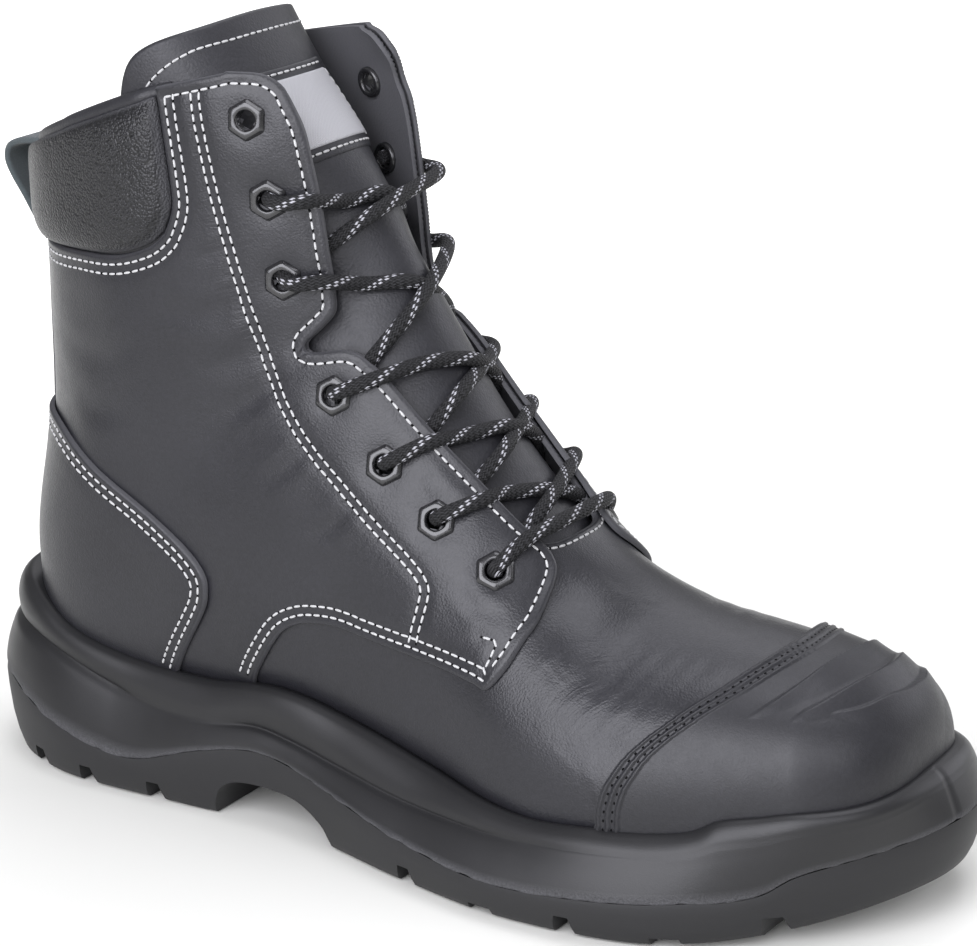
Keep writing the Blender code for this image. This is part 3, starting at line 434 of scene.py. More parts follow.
def panel(name, edge, base, thick, spacing=1.5, rim=1.1, relief=(), swell=None, fine=None, worn=None):
    """A closed sheet of leather on the last, within an outline in the chart.

    relief lists functions of points that raise or lower its face. swell gives the thickness
    instead of thick. fine is an outline within which the lattice is closer. worn says where the
    grain is wrinkled, and how far a point lies across and along the wrinkles.
    """
    border = skin.at(edge)
    places = [edge]
    for depth in np.array(RIM_RINGS) * rim:
        ring = inset(edge, depth)
        far = nearest(skin.at(ring), border) > RING_KEPT * depth
        places.append(ring[far & inside(ring, edge)])
    grids = [lattice(edge, spacing)]
    if fine is not None:
        closer = lattice(edge, spacing / 2)
        grids = [grids[0][~inside(grids[0], fine)], closer[inside(closer, fine)]]
    for grid in grids:
        places.append(grid[nearest(skin.at(grid), border) > LATTICE_CLEAR * rim])
    places = np.concatenate(places)
    flat = [Vector(p) for p in (places * CHART).tolist()]
    found = geometry.delaunay_2d_cdt(flat, [], [list(range(len(edge)))], 1, 1e-7)
    spots = np.array([tuple(v) for v in found[0]]) / CHART
    origin = {k: i for i, group in enumerate(found[3]) for k in group}
    loop = [origin[k] for k in range(len(edge))]
    depth = nearest(skin.at(spots), border)
    lower = skin.at(spots, base)
    full = thick if swell is None else swell(lower)
    height = full * (EDGE_SHARE + (1 - EDGE_SHARE) * round_over(depth / rim))
    for shape in relief:
        height = height + shape(lower) * np.clip((depth - FADE_START) / FADE_RUN, 0, 1)
    upper = skin.at(spots, base + height)
    count = len(spots)
    faces = [face[::-1] for face in found[2]] + [[count + k for k in face] for face in found[2]]
    after = np.roll(edge, -1, 0)
    turn = (edge[:, 0] * after[:, 1] - after[:, 0] * edge[:, 1]).sum()
    for a, b in zip(loop, loop[1:] + loop[:1]):
        if a != b:
            quad = (a, b, count + b, count + a)
            faces.append(quad if turn > 0 else quad[::-1])
    if thick < 0:
        faces = [list(face)[::-1] for face in faces]
    piece = add_mesh(name, np.concatenate([upper, lower]), faces)
    tag(piece, "raw_edge", np.tile(np.clip(1 - depth / (RAW_RIM * rim), 0, 1), 2))
    tag(piece, "inner", np.repeat((0.0, 1.0), count))
    wrinkles = worn(lower) if worn else np.zeros((3, count))
    for label, values in zip(("worn", "worn_across", "worn_along"), wrinkles):
        tag(piece, label, np.tile(values, 2))
    return piece


print("rings beside a rim of 1 mm at", RIM_RINGS)

# %% [markdown]
# ## Finishes
# Every surface on this boot is nearly black, so what tells leather from rubber is how it shines and
# how its grain catches light. Finishes are written as sums of shader sockets. Painted pictures would
# be quicker to look at, but would not follow a change of size.

# %% Sums of shader sockets
class Value:
    """A shader socket that can be added, multiplied and compared like a number."""

    def __init__(self, finish, socket):
        self.finish, self.socket = finish, socket

    def math(self, operation, other, swapped=False):
        pair = (other, self) if swapped else (self, other)
        return self.finish.node("ShaderNodeMath", {"operation": operation}, dict(enumerate(pair)))

    def __add__(self, other): return self.math("ADD", other)
    def __radd__(self, other): return self.math("ADD", other, True)
    def __sub__(self, other): return self.math("SUBTRACT", other)
    def __rsub__(self, other): return self.math("SUBTRACT", other, True)
    def __mul__(self, other): return self.math("MULTIPLY", other)
    def __rmul__(self, other): return self.math("MULTIPLY", other, True)
    def __gt__(self, other): return self.math("GREATER_THAN", other)


print("sums of sockets", [name for name in vars(Value) if name.startswith("__r")])

# %% [markdown]
# ## Materials
# A material is a tree of nodes that ends in a shader. It could be drawn in the shader editor. Here one
# small class makes the nodes, so that a finish reads as a few lines: what it is mixed from, how rough
# it is and how high its grain stands.

# %% A material in the making
class Finish:
    """A material in the making: a Principled shader and the nodes that feed it."""

    def __init__(self, name, **constants):
        self.material = bpy.data.materials.new(name)
        self.material.use_nodes = True
        self.shader = self.material.node_tree.nodes["Principled BSDF"]
        self.set(**constants)

    def node(self, kind, settings={}, inputs={}, output=0):
        made = self.material.node_tree.nodes.new(kind)
        for key, value in settings.items():
            setattr(made, key, value)
        for key, value in inputs.items():
            self.feed(made.inputs[key], value)
        return Value(self, made.outputs[output])

    def feed(self, socket, value):
        if isinstance(value, Value):
            self.material.node_tree.links.new(value.socket, socket)
        else:
            socket.default_value = value

    def set(self, **inputs):
        for key, value in inputs.items():
            self.feed(self.shader.inputs[key.replace("_", " ").title().replace("Ior", "IOR")], value)

    def place(self):
        return self.node("ShaderNodeTexCoord", output="Object")

    def noise(self, scale, detail=2.0, rough=0.5):
        return self.node("ShaderNodeTexNoise", {}, {"Vector": self.place(), "Scale": scale,
                                                    "Detail": detail, "Roughness": rough}, "Fac")

    def cells(self, scale):
        return self.node("ShaderNodeTexVoronoi", {"feature": "SMOOTH_F1"},
                         {"Vector": self.place(), "Scale": scale, "Smoothness": 0.6}, "Distance")

    def attribute(self, name):
        return self.node("ShaderNodeAttribute", {"attribute_name": name}, {}, "Fac")

    def mix(self, share, first, second):
        return self.node("ShaderNodeMix", {"data_type": "RGBA"}, {0: share, 6: first, 7: second}, 2)

    def bump(self, height, depth):
        """A normal from a height of 0 to 1 that stands for a depth in millimetres."""
        sizes = {"Height": height, "Distance": depth * MM, "Strength": 1.0}
        self.set(Normal=self.node("ShaderNodeBump", {}, sizes))


def grey(tone, warm=-0.04):
    """A grey, a little blue unless it is told to be warm."""
    return (tone, tone, tone * (1 - 2 * warm), 1.0)


print("a middle grey", grey(0.5))

# %% [markdown]
# ## Leather
# The uppers are smooth full-grain leather with a satin finish: fine pores, faint stretch marks and a
# soft gloss that is duller in the hollows. Real grain could be sculpted, at the cost of millions of
# faces. A bump only bends the light, which is all that shows at this size. Pores come from small
# rounded cells and the marks from noise. Where a piece is cut, its raw edge shows greyer and rougher.

# %% Leather finishes
CLOUD_SIZE, MARK_SIZE, SPECK_SIZE = 24, 220, 900  # noise waves to a metre
RAW_GREY, LINING_GREY = 0.12, 0.08


def leather(name, tone, gloss, grain, depth, wrinkle=0.0, domes=False):
    """Satin leather with grain of a given size and depth in millimetres, wrinkled where it is worn.

    Its inner face is a paler, rougher lining.
    """
    made = Finish(name, specular_ior_level=0.42)
    pores = made.cells(1 / (grain * MM))
    if domes:
        pores = 1 - pores
    marks = made.noise(MARK_SIZE, 5, 0.6)
    cloud, speck = made.noise(CLOUD_SIZE, 3), made.noise(SPECK_SIZE, 3, 0.6)
    raw, inner = made.attribute("raw_edge"), made.attribute("inner")
    body = made.mix(cloud * 0.4 + speck * 0.6, grey(tone * 0.3, -0.10), grey(tone * 1.7, -0.10))
    # Pebbled leather is painted darker in the creases between its domes: painted shade in the grain.
    if domes:
        body = made.mix(pores, grey(tone * 0.2), body)
    uneven = (cloud - 0.5) * 0.16 + (marks - 0.5) * 0.16 + (pores - 0.4) * 0.1
    made.set(base_color=made.mix(inner, made.mix(raw * 0.5, body, grey(RAW_GREY)), grey(LINING_GREY)),
             roughness=gloss + uneven + raw * 0.3 + inner * 0.2)
    height = pores * 0.6 + marks * 0.45
    if wrinkle:
        lie = made.node("ShaderNodeCombineXYZ", {}, {0: made.attribute("worn_across") * 1.05,
                                                     1: made.attribute("worn_along") * 0.18})
        lines = made.node("ShaderNodeTexNoise", {}, {"Vector": lie, "Scale": 1.0, "Detail": 3.0,
                                                     "Distortion": 0.5}, "Fac")
        height = height + (lines - 0.5) * made.attribute("worn") * cloud * (wrinkle / depth)
    made.bump(height, depth)
    return made.material


smooth_leather = leather("smooth_leather", 0.016, 0.35, 0.6, 0.1, 0.36)
soft_leather = leather("soft_leather", 0.017, 0.45, 0.7, 0.12)
pebbled_leather = leather("pebbled_leather", 0.014, 0.36, 0.68, 0.6, domes=True)
print("leathers", [m.name for m in (smooth_leather, soft_leather, pebbled_leather)])

# %% [markdown]
# ## The sole's edge in plan
# The upper sinks into the sole, so the sole's sizes are needed first. Its plan is a closed curve
# round the foot, outer side first. The heights of its side change all along the boot: they could be
# curves of their own, but one row of sizes to a place keeps what belongs together in one line.

# %% Sizes of the sole
PLAN_LATERAL = ((0, 0), (8, -25.5), (36, -41), (80, -42), (120, -41.3), (165, -52.6), (205, -59),
                (248, -53), (284, -29.5), (306, 4))
PLAN_MEDIAL = ((306, 4), (298, 36), (268, 51), (225, 53.5), (180, 45), (130, 37), (80, 37), (38, 39),
               (8, 25.5))
Side = namedtuple("Side", "x top groove depth parting core lip")
SOLE_SIDE = (
    Side(-4, 56, .57, 2.2, 27, 17, 10), Side(12, 55, .57, 2.2, 25.5, 17, 9),
    Side(24, 50.5, .64, 2.2, 22, 16, 7.2), Side(36, 45.5, .70, 2, 18, 14.5, 6.5),
    Side(52, 41.5, .68, 1.6, 13.8, 13, 6.5), Side(68, 39.3, .60, 1, 13, 12.5, 6.5),
    Side(90, 38.8, .42, .8, 20, 15, 6), Side(108, 41.5, .36, 1.4, 23.5, 17, 5),
    Side(122, 41.2, .32, 1.4, 22.5, 16.5, 4.5), Side(140, 36.8, .35, 1.4, 19.2, 14, 4),
    Side(165, 31, .45, 1.4, 14.5, 11, 4), Side(190, 27.7, .62, 1.2, 11.5, 9.5, 4),
    Side(207, 27, .69, .8, 11, 9, 4), Side(225, 28.4, .69, .3, 12, 9, 4),
    Side(245, 29.6, .69, 0, 13.5, 10, 4.5), Side(256, 31.5, .69, 0, 14.7, 11.5, 5),
    Side(263, 35.3, .69, 0, 15, 12.5, 5), Side(272, 37.2, .69, 0, 17, 13.5, 5),
    Side(280, 39, .69, 0, 22, 14.5, 5), Side(295, 40.5, .69, 0, 26, 16, 5),
    Side(312, 43.5, .69, 0, 31, 17, 5),
)


def side_size(name, x):
    """A size of the sole at a distance from the heel, on a smooth curve through the table."""
    rows = np.array([(row.x, getattr(row, name)) for row in SOLE_SIDE], float)
    fine = curve(rows, 12)
    return np.interp(x, fine[:, 0], fine[:, 1])


print("sole rows", len(SOLE_SIDE), "height at the ball", side_size("top", 207.0).round(1))

# %% [markdown]
# ## Pattern pieces
# The outlines of the panels, drawn in side view as a pattern cutter would. They could be traced all
# round each piece, but neighbours share their edges, so each edge is drawn once and named. Both sides
# of the boot use the same lines, apart from the tops of the facings.

# %% Outlines in side view
GAP, WALL, OVERLAY = 0.3, 2.0, 1.7  # between layers, the wall and what lies on it
LEVEL_1, LEVEL_2 = GAP, GAP + OVERLAY + GAP  # undersides of the first and second layer
LEVEL_1_TOP = LEVEL_1 + OVERLAY
FACING_TOP = {LATERAL: ((99.5, 219.2), (107.8, 218.8), (112, 217.2), (115.5, 214.5)),
              MEDIAL: ((107, 222.9), (113.5, 221.6), (118, 216.5))}
THROAT = ((119, 209), (121.5, 203.5), (123.5, 195), (126, 181), (128, 167), (129, 158), (129.2, 153),
          (125.5, 148), (122, 144.3), (122.8, 142), (126.5, 142), (133, 143.2), (137, 142.7), (140, 141),
          (147, 135.3), (158, 124.3), (172.5, 110.6), (185.5, 98.2))
WING = ((103, 37), (106, 43.5), (110, 49.6), (115.7, 57.7), (119.3, 61.6), (124, 64.3), (129, 65.8),
        (138, 66.5), (149.6, 65), (163.7, 63.4), (176.6, 61.8), (186, 60.3))
WING_FRONT = ((190.6, 59.5), (195.4, 66), (197.8, 72.7), (199, 76.5), (198.5, 82.2), (196.8, 86.5),
              (193.7, 90.3), (190.4, 93.7))
WING_END = (100, 33)  # inside the sole
COUNTER_TOP = ((18, 109.5), (36.9, 107.5), (57, 97.5), (74.5, 88), (86.5, 80.5), (92.5, 74.5), (93.6, 69),
               (91, 61), (77, 40), (72, 33))
PAD_LOWER = ((18, 161), (33, 161), (48, 162.2), (60, 163.2), (68.2, 165), (76.3, 168.4), (81, 172.5))
PAD_FRONT = ((81, 172.5), (83.4, 178.5), (83.8, 184.2), (81.7, 199.3), (79.9, 211))
print("drawn points", sum(map(len, (THROAT, WING, WING_FRONT, COUNTER_TOP, PAD_LOWER, PAD_FRONT))))

# %% [markdown]
# ## From drawn edges to an outline
# An outline is a chain of such edges with a few that aren't drawn: along the sole, a little below its
# lip, up the middle of the heel and along the collar. They could be joined in side view, but the back
# and the collar run round the boot. So they are chained as places on the last and spaced evenly.

# %% Edges and outlines
def chart_line(stations, shares):
    """A line of places from stations and shares, of which one may be a single number."""
    return np.stack(np.broadcast_arrays(stations, shares), -1)


SUNK = 6.0  # how far a panel runs on below the lip of the sole
BACK_SEAM = 0.0005  # share just beside the middle of the heel
COLLAR_LIFT, COLLAR_DIP = 0.25, 0.17  # stations by which the collar rises to the facings and dips behind
LIFT_FROM, LIFT_RUN = 0.15, 0.12  # shares from the back at which it rises
DIP_UNTIL, DIP_RUN = 0.16, 0.1  # and up to which it dips


def places_even(places, spacing):
    """A line of places spaced evenly over the surface."""
    run = lengths(skin.at(places))
    return at_lengths(places, run, np.linspace(0, run[-1], max(3, int(run[-1] / spacing) + 1)))


def drawn(points, side):
    """A smooth line drawn in side view, as places on one side of the last."""
    return on_side(even(curve(points, 8), 1.0), side)


def sunk_line(x0, x1, side):
    """Just below the lip of the sole, between two distances from the heel."""
    x = np.linspace(x0, x1, 40)
    return on_side(np.stack([x, side_size("top", x) - SUNK], -1), side)


def back_station(z):
    """The station whose section starts at a height on the back of the heel."""
    stations = np.linspace(8, COLLAR, 200)
    return np.interp(z, [row_sizes(s)[1] for s in stations], stations)


def back_line(z0, z1, side):
    """Up the back seam between two heights."""
    stations = np.linspace(back_station(z0), back_station(z1), 60)
    return chart_line(stations, side * BACK_SEAM)


def outline(*lines, spacing=1.1):
    """A closed outline from lines of places, evenly spaced."""
    joined = np.concatenate([*lines, lines[0][:1]])
    keep_point = np.concatenate([[True], np.abs(np.diff(joined, axis=0)).sum(1) > 1e-9])
    return places_even(joined[keep_point], spacing)[:-1]


def collar_line(first, last, rise=0.0):
    """Along the collar between two shares, or a number of stations above it."""
    shares = np.linspace(first, last, 60)
    apart = np.abs(shares - np.round(shares))
    lift = (COLLAR_LIFT * np.clip((apart - LIFT_FROM) / LIFT_RUN, 0, 1)
            - COLLAR_DIP * np.clip((DIP_UNTIL - apart) / DIP_RUN, 0, 1))
    return chart_line(COLLAR + (rise or lift), shares)


throat = {side: drawn((*FACING_TOP[side], *THROAT), side) for side in (LATERAL, MEDIAL)}
for side in throat:
    print("throat", side, throat[side][0].round(3), throat[side][-1].round(3))

# %% [markdown]
# ## Creases and stitch lines
# Leather is never flat. It sinks along a seam, dimples under an eyelet and folds where the foot
# bends. A cloth simulation would fold somewhere of its own, and noise would fold everywhere. So the
# main folds are listed below, in the boot's own sizes, as soft troughs and ridges: a length
# of line, its depth and its width.

# %% Reliefs
def trough(line, depth, width):
    """A soft trough along a line of points; a negative depth makes a ridge."""
    line = np.asarray(line, float)

    def shape(points):
        return -depth * np.exp(-(nearest(points, line) / width) ** 2)
    return shape


def fold(line, depth, width):
    """A fold: a trough that fades to both ends, with a low ridge on each side of it."""
    line = np.asarray(line, float)
    fade = np.sin(np.linspace(0, np.pi, len(line))) ** 0.7

    def shape(points):
        far, which = nearest(points, line, True)
        reach = far / width
        return -depth * fade[which] * (np.exp(-reach ** 2) - 0.45 * np.exp(-(reach - 1.9) ** 2 * 1.5))
    return shape


def waves(seed, count, size, depth, within):
    """Seeded faint unevenness, with waves of about one size in millimetres."""
    rng = np.random.default_rng(seed)
    turn = unit(rng.normal(size=(count, 3))) * (2 * np.pi / (size * rng.uniform(0.7, 1.6, count)))[:, None]
    phase = rng.uniform(0, 2 * np.pi, count)

    def shape(points):
        return depth * np.sin(points @ turn.T + phase).mean(1) * within(points)
    return shape


def everywhere(points):
    return np.ones(len(points))


straight = np.linspace((0, 0, 0), (20, 0, 0), 21)
print("a fold 0.5 mm deep changes its middle by", fold(straight, 0.5, 2.0)(straight[10:11]).round(3))

# %% [markdown]
# ## Where the eyelets sit
# Fourteen eyelets go through the facings, seven a side. Their places are measured in side view and
# found on the last like any drawn point. The holes could be cut with a Boolean, but the eyelets cover
# their edges, so it is enough to take away the faces within a circle.

# %% Eyelet places
EYELETS = ((106.6, 206.4), (112.3, 184.5), (116, 162), (132.5, 130.8), (149.5, 113.4), (166.3, 100),
           (184.5, 88))
eyelet_places = {side: on_side(EYELETS, side) for side in (LATERAL, MEDIAL)}
PUNCH = 4.0  # radius of the holes punched for them, covered by their rims
PUNCH_REACH = 6  # how far above and below the last a punch cuts


def pierce(piece, places):
    """Punch the holes for eyelets through a panel."""
    mesh = bmesh.new()
    mesh.from_mesh(piece.data)
    spots = np.array([vert.co for vert in mesh.verts]) / MM + MIDDLE
    gone = np.zeros(len(spots), bool)
    for place in places:
        away, axis = spots - skin.at(place[None])[0], skin.normal(place[None])[0]
        along = away @ axis
        beside = np.linalg.norm(away - along[:, None] * axis, axis=1)
        gone |= (beside < PUNCH) & (np.abs(along) < PUNCH_REACH)
    faces = [face for face in mesh.faces if all(gone[vert.index] for vert in face.verts)]
    bmesh.ops.delete(mesh, geom=faces, context="FACES")
    mesh.to_mesh(piece.data)
    mesh.free()


print("eyelets", sum(len(p) for p in eyelet_places.values()))

# %% [markdown]
# ## Folds of the vamp
# The foot bends at the ball, so the vamp shows fine folds behind the toe cap and a soft roll where it
# meets the tongue. From the side they would be hard to place, so they are drawn in plan, as seen from
# above, and looked up on the upper face of the last. Between them the grain is wrinkled by a bump.

# %% Folds and wrinkles of the vamp
CAP_REAR = ((223.6, -54), (226, -50), (232.6, -45), (244.6, -35), (254, -23), (259.2, -6), (259.2, 14),
            (254, 30), (244.6, 39), (232.6, 47), (226, 51), (223.6, 55))  # edge of the toe cap, in plan
WORN_SPOTS = (  # where the vamp is wrinkled: x and y in plan, half sizes and strength
    (219, -38, 14, 12, 1.0),
    (229, -18, 18, 18, 0.5),
)
WORN_FROM, WORN_RUN = 45, 15  # heights at which the wrinkles come in
WORN_STEP = 0.2  # spacing of the points that wrinkles are measured from
VAMP_FOLDS = (  # x and y in plan on top of the vamp, depth and width in millimetres
    (((220, -46), (226, -39), (231, -29), (234, -16)), .24, 1.8),
    (((214, -46), (220, -39), (225, -30), (228, -18)), .27, 1.7),
    (((209, -45), (214, -39), (219, -31), (222, -20)), .24, 1.7),
    (((226, -46), (232, -38), (237, -28), (240, -14)), .2, 1.8),
    (((236, -38), (243, -26), (246, -12), (246, 2)), .18, 2.0),
    (((236, 6), (234, 20), (229, 32)), .22, 2.0),
    (((227, 8), (225, 22), (219, 34)), .2, 2.0),
    (((243, 4), (241, 18), (236, 30)), .2, 1.8),
    (((204, -42), (208, -36), (212, -28)), .22, 1.8),
    (((216, -48), (224, -45), (236, -45)), .5, 6.0),
    (((207, -40), (211, -33), (211, -20), (208, -6)), -.8, 6.0),
)


def on_top(line):
    """Places of points drawn in plan on the upper face of the forefoot."""
    first, wide = skin.around // 8, skin.around * 3 // 4
    rows = skin.points[:, first:first + wide].reshape(-1, 3)
    tree = KDTree(len(rows))
    for i, spot in enumerate(rows):
        tree.insert((spot[0], spot[1], 0), i)
    tree.balance()
    found = [tree.find((x, y, 0))[1] for x, y in line]
    return np.array([(skin.stations[i // wide], (i % wide + first) / skin.around) for i in found])


def top_points(line, spacing=0.8):
    """Points on the last under a smooth line drawn in plan."""
    return skin.at(on_top(even(curve(line, 6), spacing)))


def vamp_worn(points):
    """The vamp wrinkles below the wing and, less, behind the cap, in lines beside the cap's edge."""
    x, y, z = points.T
    rear = np.pad(even(curve(CAP_REAR, 10), WORN_STEP), ((0, 0), (0, 1)))
    far, along = nearest(points * (1, 1, 0), rear, True)
    weight = sum(strength * np.exp(-((x - x0) / half_x) ** 2 - ((y - y0) / half_y) ** 2)
                 for x0, y0, half_x, half_y, strength in WORN_SPOTS)
    return weight * np.clip((z - WORN_FROM) / WORN_RUN, 0, 1), far, along * WORN_STEP


vamp_relief = [fold(top_points(line), depth, width) for line, depth, width in VAMP_FOLDS]
BALL_FROM, BALL_RUN = 150, 30  # distances from the heel at which the vamp turns uneven
vamp_relief.append(waves(4, 14, 26, 0.5, lambda points: np.clip((points[:, 0] - BALL_FROM) / BALL_RUN, 0, 1)))
print("folds on the vamp", len(VAMP_FOLDS))

# %% [markdown]
# ## The upper
# The vamp and the lining shell are one hollow wall: under the other panels it hardly shows, but it
# closes the boot. It could be two shells, and would then need twice the faces. One panel with the
# whole boot's outline does for both, and its inner face is given the paler finish of a lining. The
# lattice is closer on the vamp, which carries the folds.

# %% Upper
UPPER_FOOT = 0.03  # share at which the wall turns under the foot, inside the sole
NOSE_STOP, HEEL_TURN, HEEL_UP = -0.95, 7.6, 8.2  # stations where the wall's foot starts, ends, and climbs
THROAT_FOOT = ((3.55, .437), (3.40, .447), (3.31, .464), (3.27, .483), (3.26, .5))
OPENING_END = 3.7  # station at which the facings give way to the throat
FACING_RISE = {LATERAL: 0.4, MEDIAL: 0.75}  # stations by which a facing stands above the collar
PAD_SHARE, PAD_STEP = 0.275, .006  # about where the pad ends and the facing begins
VAMP_ROW = 2.0  # from the edge of the throat to the stitches before it
sole_edge = np.linspace(NOSE_STOP, HEEL_TURN, 120)
foot_line = np.concatenate([chart_line(sole_edge, UPPER_FOOT),
                            chart_line(np.linspace(HEEL_UP, COLLAR, 60), BACK_SEAM)])
opening = {side: line[line[:, 0] > OPENING_END] for side, line in throat.items()}
throat_arc = curve(THROAT_FOOT, 10)
throat_far = (throat_arc * (1, -1) + (0, 1))[-2::-1]
upper_edge = outline(
    foot_line, collar_line(BACK_SEAM, PAD_SHARE),
    collar_line(PAD_SHARE + PAD_STEP, opening[LATERAL][0, 1], FACING_RISE[LATERAL]),
    opening[LATERAL], throat_arc, throat_far, (opening[MEDIAL] + (0, 1))[::-1],
    collar_line(1 + opening[MEDIAL][0, 1], 1 - PAD_SHARE - PAD_STEP, FACING_RISE[MEDIAL]),
    collar_line(1 - PAD_SHARE, 1 - BACK_SEAM),
    (foot_line * (1, -1) + (0, 1))[::-1], spacing=1.6)
VAMP = np.array(((0.3, 0.2), (4.2, 0.2), (4.2, 0.8), (0.3, 0.8)))  # where the lattice is closer
upper = panel("leather_upper", upper_edge, -WALL, WALL, spacing=2.4, relief=vamp_relief, fine=VAMP,
              worn=vamp_worn)
pierce(upper, [place for side in eyelet_places for place in eyelet_places[side]])
keep(upper, smooth_leather, "upper_leather", "upper")
vamp_row = inset(places_even(np.concatenate([throat_arc, throat_far]), 1.0), VAMP_ROW, closed=False)

# %% [markdown]
# ## Quarters
# Each quarter carries the facing for the lace and a curved wing over the vamp. It is sewn down with
# double rows, and a second double row runs down behind the eyelets. Along those rows the leather
# sinks. The rows could be painted on as a bump, but a real trough catches light at its edges, so the
# same lines first press the panel in and later carry the stitches.

# %% Rows and folds of the quarters
EYESTAY = ((90.3, 213.3), (91.7, 205), (95, 189.3), (97.8, 178), (103, 159.7), (106.2, 149.4),
           (113.3, 131.6), (124.2, 116.8), (138.3, 104.4), (148.2, 96.2), (159.8, 87.8), (164.7, 83.3),
           (165.7, 79.5), (163.4, 67))
ROW_SPACE = 2.5  # between the two rows behind the eyelets
FIRST_ROW, SECOND_ROW, FACING_ROW = 2.5, 5.1, 3.2  # how far rows of stitches lie from an edge
HOOK = ((189.5, 64.8), (190.5, 68.2), (190.4, 71.4), (185.8, 72.3))  # where a row ends at the wing's tip
WING_TIP = 37  # points of the wing's outline before it turns back
SEAM_DEPTH, SEAM_WIDTH = 0.35, 1.3  # of the trough that a row of stitches pulls in
DIMPLE_DEPTH, DIMPLE_WIDTH = 1.3, 5.4  # of the hollow round an eyelet
BACK_FROM, BACK_TO = 50, 161  # heights of a quarter on the back seam
QUARTER_SUNK = (98, 16)  # from where to where it runs into the sole
WORN_BESIDE = 7  # how far wrinkles reach from the rows
QUARTER_FOLDS = (  # x and z in side view, depth and width
    (((101, 172), (96, 168), (90, 167)), .35, 2.0),
    (((105, 158), (97, 152), (88, 150), (78, 151)), .5, 3.2),
    (((110, 145), (101, 138), (90, 134)), .45, 3.0),
    (((116, 134), (108, 127), (98, 122)), .4, 2.8),
    (((70, 140), (60, 134), (48, 132), (36, 134)), .4, 3.6),
    (((66, 120), (56, 116), (44, 117)), .35, 3.4),
    (((128, 118), (121, 110), (112, 104)), .35, 2.6),
    (((143, 104), (137, 96), (129, 91)), .35, 2.4),
    (((160, 112), (166, 106), (174, 101)), .3, 1.8),
    (((176, 84), (183, 79), (191, 77)), .35, 2.0),
)


def beside(line, *spaces):
    """Rows of stitches at some distances from an edge."""
    return [inset(places_even(line, 1.2), space, closed=False) for space in spaces]


def pulled_in(rows, level):
    """Troughs along rows of stitches."""
    return [trough(skin.at(places_even(row, 0.8), level), SEAM_DEPTH, SEAM_WIDTH) for row in rows]


print("folds on a quarter", len(QUARTER_FOLDS))

# %% Quarters
sewn = {upper: [vamp_row]}  # lines of stitches in places on the last, by the piece that carries them
for side, name in ((LATERAL, "quarter_lateral"), (MEDIAL, "quarter_medial")):
    wing = drawn((*WING_FRONT[::-1], *WING[::-1], WING_END), side)
    pad_edge = np.concatenate([drawn(PAD_LOWER, side), drawn(PAD_FRONT, side)[1:]])
    top = collar_line(pad_edge[-1, 1], throat[side][0, 1], FACING_RISE[side])
    edge = outline(back_line(BACK_FROM, BACK_TO, side), pad_edge[1:], top, throat[side], wing[2:],
                   sunk_line(*QUARTER_SUNK, side))
    eyestay = drawn(EYESTAY, side)
    facing = np.concatenate([top[6:], throat[side][1:], wing[2:WING_TIP - 3]])
    rows = [eyestay, inset(eyestay, -side * ROW_SPACE, closed=False)]
    rows += beside(facing, side * FACING_ROW)
    rows += beside(wing[WING_TIP + 1:-12], side * FIRST_ROW, side * SECOND_ROW)
    rows += beside(pad_edge, side * FIRST_ROW, side * SECOND_ROW)
    rows.append(drawn(HOOK, side))
    relief = pulled_in(rows, LEVEL_1)
    relief += [fold(skin.at(drawn(line, side)), depth, width) for line, depth, width in QUARTER_FOLDS]
    relief += [trough(skin.at(place[None], LEVEL_1), DIMPLE_DEPTH, DIMPLE_WIDTH)
               for place in eyelet_places[side]]
    relief.append(waves(11 + side, 16, 30, 0.7, everywhere))
    eyestay_line = skin.at(places_even(eyestay, WORN_STEP), LEVEL_1)

    def quarter_worn(points):
        """Short wrinkles run out from the sewn row behind the eyelets."""
        far, run = nearest(points, eyestay_line, True)
        return np.exp(-(far / WORN_BESIDE) ** 2), run * WORN_STEP, far

    quarter = panel("leather_" + name, edge, LEVEL_1, OVERLAY, relief=relief, worn=quarter_worn)
    pierce(quarter, eyelet_places[side])
    keep(quarter, smooth_leather, "quarter_leather", name)
    sewn[quarter] = rows

# %% [markdown]
# ## Counter and backstay
# The counter stiffens the heel and wraps round the back over both quarters. The backstay covers the
# back seam between it and the collar. Each could be two halves that meet behind, but a real counter
# has no seam there, so its outline runs from one side across the back to the other. Both lie one
# level higher than the quarters.

# %% Counter
COUNTER_SUNK, COUNTER_BACK = (71, 16), (BACK_FROM, 109.5)
counter_side = {side: np.concatenate([drawn(COUNTER_TOP, side)[2:], sunk_line(*COUNTER_SUNK, side)])
                for side in (LATERAL, MEDIAL)}
low, high = (back_station(z) for z in COUNTER_BACK)
counter_edge = outline(np.array([(high, 0)]), counter_side[LATERAL], np.array([(low, 0)]),
                       counter_side[MEDIAL][::-1])
counter_top = np.concatenate([drawn(COUNTER_TOP[:-1], LATERAL)[:1:-1], drawn(COUNTER_TOP[:-1], MEDIAL)[2:]])
counter_rows = beside(counter_top, -FIRST_ROW, -SECOND_ROW)
counter_relief = [waves(21, 14, 34, 0.5, everywhere), *pulled_in(counter_rows, LEVEL_2)]
counter = keep(panel("leather_counter", counter_edge, LEVEL_2, OVERLAY, relief=counter_relief),
               smooth_leather, "counter_leather", "heel_counter")
sewn[counter] = counter_rows

# %% [markdown]
# ## Backstay
# A straight strip, tucked under the counter at its foot and under the pad at its top. A thin box bent
# round the heel would do, but as a panel it gets the same rim, grain and rows as its neighbours.

